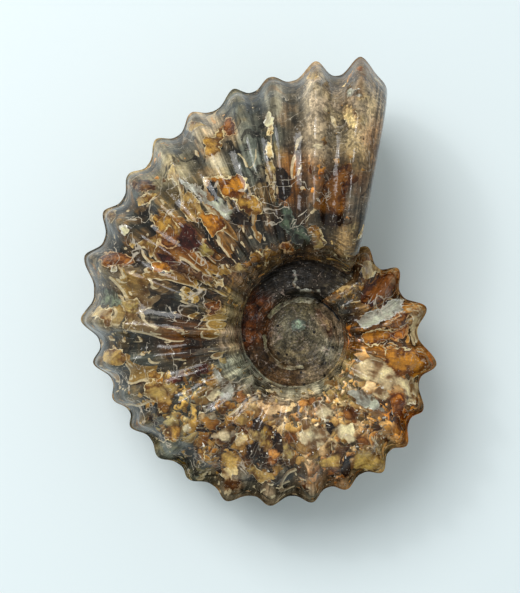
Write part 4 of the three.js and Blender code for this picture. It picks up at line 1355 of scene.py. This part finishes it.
# --- The umbilicus's filling --------------------------------------------------------------------------
# Sediment and the worn inner whorls, less glossy than the shell: rings round the axis, grains, specks,
# and hair-thin brown threads over the dark inner whorl.
THREAD_BROWN = (0.32, 0.24, 0.19, 1)
FILL_ROUGHNESS = 0.462
FILL_GLOSS = 0.6


def paint_fill(tree, place):
    """The sediment and the inner whorls, from their clouded ground up to the grit."""
    grain = stored(tree, "grain", "Vector")
    cloud = ramp(tree, noise_of(tree, place, 2.6, 4.0, 0.65), 0.3, 0.7, 0.5, 1.5)
    base = tinted(tree, stored(tree, "ground", "Color"), cloud)
    rings = streaks_of(tree, grain, (0.08, 2.0, 1.0), 0.5, 0.3, 0.7, 0.35, 1.7)
    base = blend(tree, stored(tree, "streak_amount"), base, tinted(tree, base, rings))
    stain = ramp(tree, noise_of(tree, place, 1.3, 4.0, 0.7, 0.6), 0.50, 0.62)
    stain = times(tree, stain, stored(tree, "gem_amount"))
    base = blend(tree, stain, base, stored(tree, "gem", "Color"))
    grains, chance = chances_of(tree, place, 3.2)
    round_grain = ramp(tree, grains.outputs["Distance"], 0.42, 0.25)
    pale = times(tree, round_grain, ramp(tree, chance[0], 0.90, 0.92, 0.0, 0.45))
    dark = times(tree, round_grain, ramp(tree, chance[1], 0.78, 0.80, 0.0, 0.8))
    base = blend(tree, pale, base, PALE_LINE)
    base = blend(tree, dark, base, DARK)
    base = paint_patches(tree, place, base, 0.8, 0.1)
    thread = threads_of(tree, place, 3.4, 1.4, 0.020, 0.006)
    some = ramp(tree, noise_of(tree, place, 4.0, 1.0), 0.47, 0.53, 0.0, 0.55)
    base = blend(tree, times(tree, thread, some), base, THREAD_BROWN)
    speckle = ramp(tree, noise_of(tree, place, 1.1, 4.0, 0.75), 0.35, 0.65, 0.5, 1.55)
    base = gritty(tree, place, tinted(tree, base, speckle), 0.35, 0.6, 1.4)
    return base, times(tree, rings, 0.3), FILL_ROUGHNESS, FILL_GLOSS


mesh.materials.append(stone_material("umbilicus_fill", paint_fill, pits=0.6, bump_distance=0.0003))

# --- The sawn mouth -----------------------------------------------------------------------------------
# The cut shows the shell as a thin pale rim, amber crystal grown inwards from it, and tan sediment in the
# middle, sawn flat and polished.
RIM_SHELL = (0.52, 0.42, 0.28, 1)
AMBER_WALL = (0.20, 0.085, 0.02, 1)
TAN_MUD = (0.26, 0.18, 0.105, 1)
RIM_THICKNESS = 0.9
CRYSTAL_THICKNESS = 5.0
UNEVENNESS = 5.0
SAWN_ROUGHNESS = 0.2932


def paint_sawn(tree, place):
    """The cut, from the middle out to the rim. The layers' thickness is uneven."""
    inward = add_node(tree, "ShaderNodeSeparateXYZ", {0: stored(tree, "grain", "Vector")}).outputs["Y"]
    uneven = times(tree, noise_of(tree, place, 5.0, 3.0, 0.6), UNEVENNESS)
    inward = math_of(tree, "ADD", inward, math_of(tree, "SUBTRACT", uneven, UNEVENNESS / 2))
    cloud = ramp(tree, noise_of(tree, place, 3.0, 4.0, 0.6), 0.3, 0.7, 0.55, 1.5)
    crystal = ramp(tree, noise_of(tree, place, 1.4, 3.0, 0.6, 1.5), 0.42, 0.60)
    crystal = blend(tree, crystal, AMBER_WALL, PALE_RIM)
    base = blend(tree, ramp(tree, inward, CRYSTAL_THICKNESS - 0.5, CRYSTAL_THICKNESS + 1.0), crystal, TAN_MUD)
    base = tinted(tree, base, cloud)
    from_line = math_of(tree, "ABSOLUTE", math_of(tree, "SUBTRACT", inward, CRYSTAL_THICKNESS))
    base = blend(tree, ramp(tree, from_line, 0.3, 0.1), base, PALE_LINE)
    base = blend(tree, ramp(tree, inward, RIM_THICKNESS, RIM_THICKNESS - 0.3), base, RIM_SHELL)
    return gritty(tree, place, base, 0.4, 0.7, 1.35), 0.0, SAWN_ROUGHNESS, gloss_of(tree, 0.9)


mesh.materials.append(stone_material("sawn_mouth", paint_sawn, pits=0.3, bump_distance=0.0002))

# --- Floor, light and camera -----------------------------------------------------------------------
# A plain pale table, a large soft lamp above and to the left, and a small one that gives the polish its
# glints. The camera looks down along the coil's axis.
FRAME_HEIGHT = 118.6
SENSOR = 36
NEAREST_SEEN = 0.01
TABLE_SIZE = 3.0
TABLE_COLOUR = (0.80, 0.88, 0.90, 1)
TABLE_ROUGHNESS = 0.7
ROOM_COLOUR = (0.88, 0.95, 0.96, 1)
ROOM_STRENGTH = 0.55
scene = bpy.context.scene

table_mesh = bpy.data.meshes.new("table")
half = TABLE_SIZE / 2
corners = [(-half, -half, 0), (half, -half, 0), (half, half, 0), (-half, half, 0)]
table_mesh.from_pydata(corners, [], [(0, 1, 2, 3)])
table = bpy.data.objects.new("table", table_mesh)
scene.collection.objects.link(table)
pale_table = bpy.data.materials.new("pale_table")
pale_table.use_nodes = True
pale_table.node_tree.nodes["Principled BSDF"].inputs["Base Color"].default_value = TABLE_COLOUR
pale_table.node_tree.nodes["Principled BSDF"].inputs["Roughness"].default_value = TABLE_ROUGHNESS
table_mesh.materials.append(pale_table)

# Each lamp's place and width are in metres, and its power in watts.
for name, spot, width, power in (
    ("soft_lamp", (-0.32, 0.30, 0.75), 0.55, 4.6),
    ("glint_lamp", (-0.30, 0.20, 0.50), 0.06, 0.26),
):
    lamp = bpy.data.lights.new(name, "AREA")
    lamp.shape = "DISK"
    lamp.size = width
    lamp.energy = power
    lamp_object = bpy.data.objects.new(name, lamp)
    lamp_object.location = spot
    lamp_object.rotation_euler = Vector(spot).to_track_quat("Z", "Y").to_euler()
    scene.collection.objects.link(lamp_object)

world = bpy.data.worlds.new("pale_room")
world.use_nodes = True
world.node_tree.nodes["Background"].inputs["Color"].default_value = ROOM_COLOUR
world.node_tree.nodes["Background"].inputs["Strength"].default_value = ROOM_STRENGTH
scene.world = world
scene.view_settings.view_transform = "Standard"

camera = bpy.data.cameras.new("camera")
camera.sensor_width = SENSOR
camera.lens = SENSOR * EYE.z / FRAME_HEIGHT
camera.clip_start = NEAREST_SEEN
camera_object = bpy.data.objects.new("camera", camera)
camera_object.matrix_world = Matrix.Translation((lean @ EYE + AXIS_AT) * MM) @ lean.to_4x4()
scene.collection.objects.link(camera_object)
scene.camera = camera_object
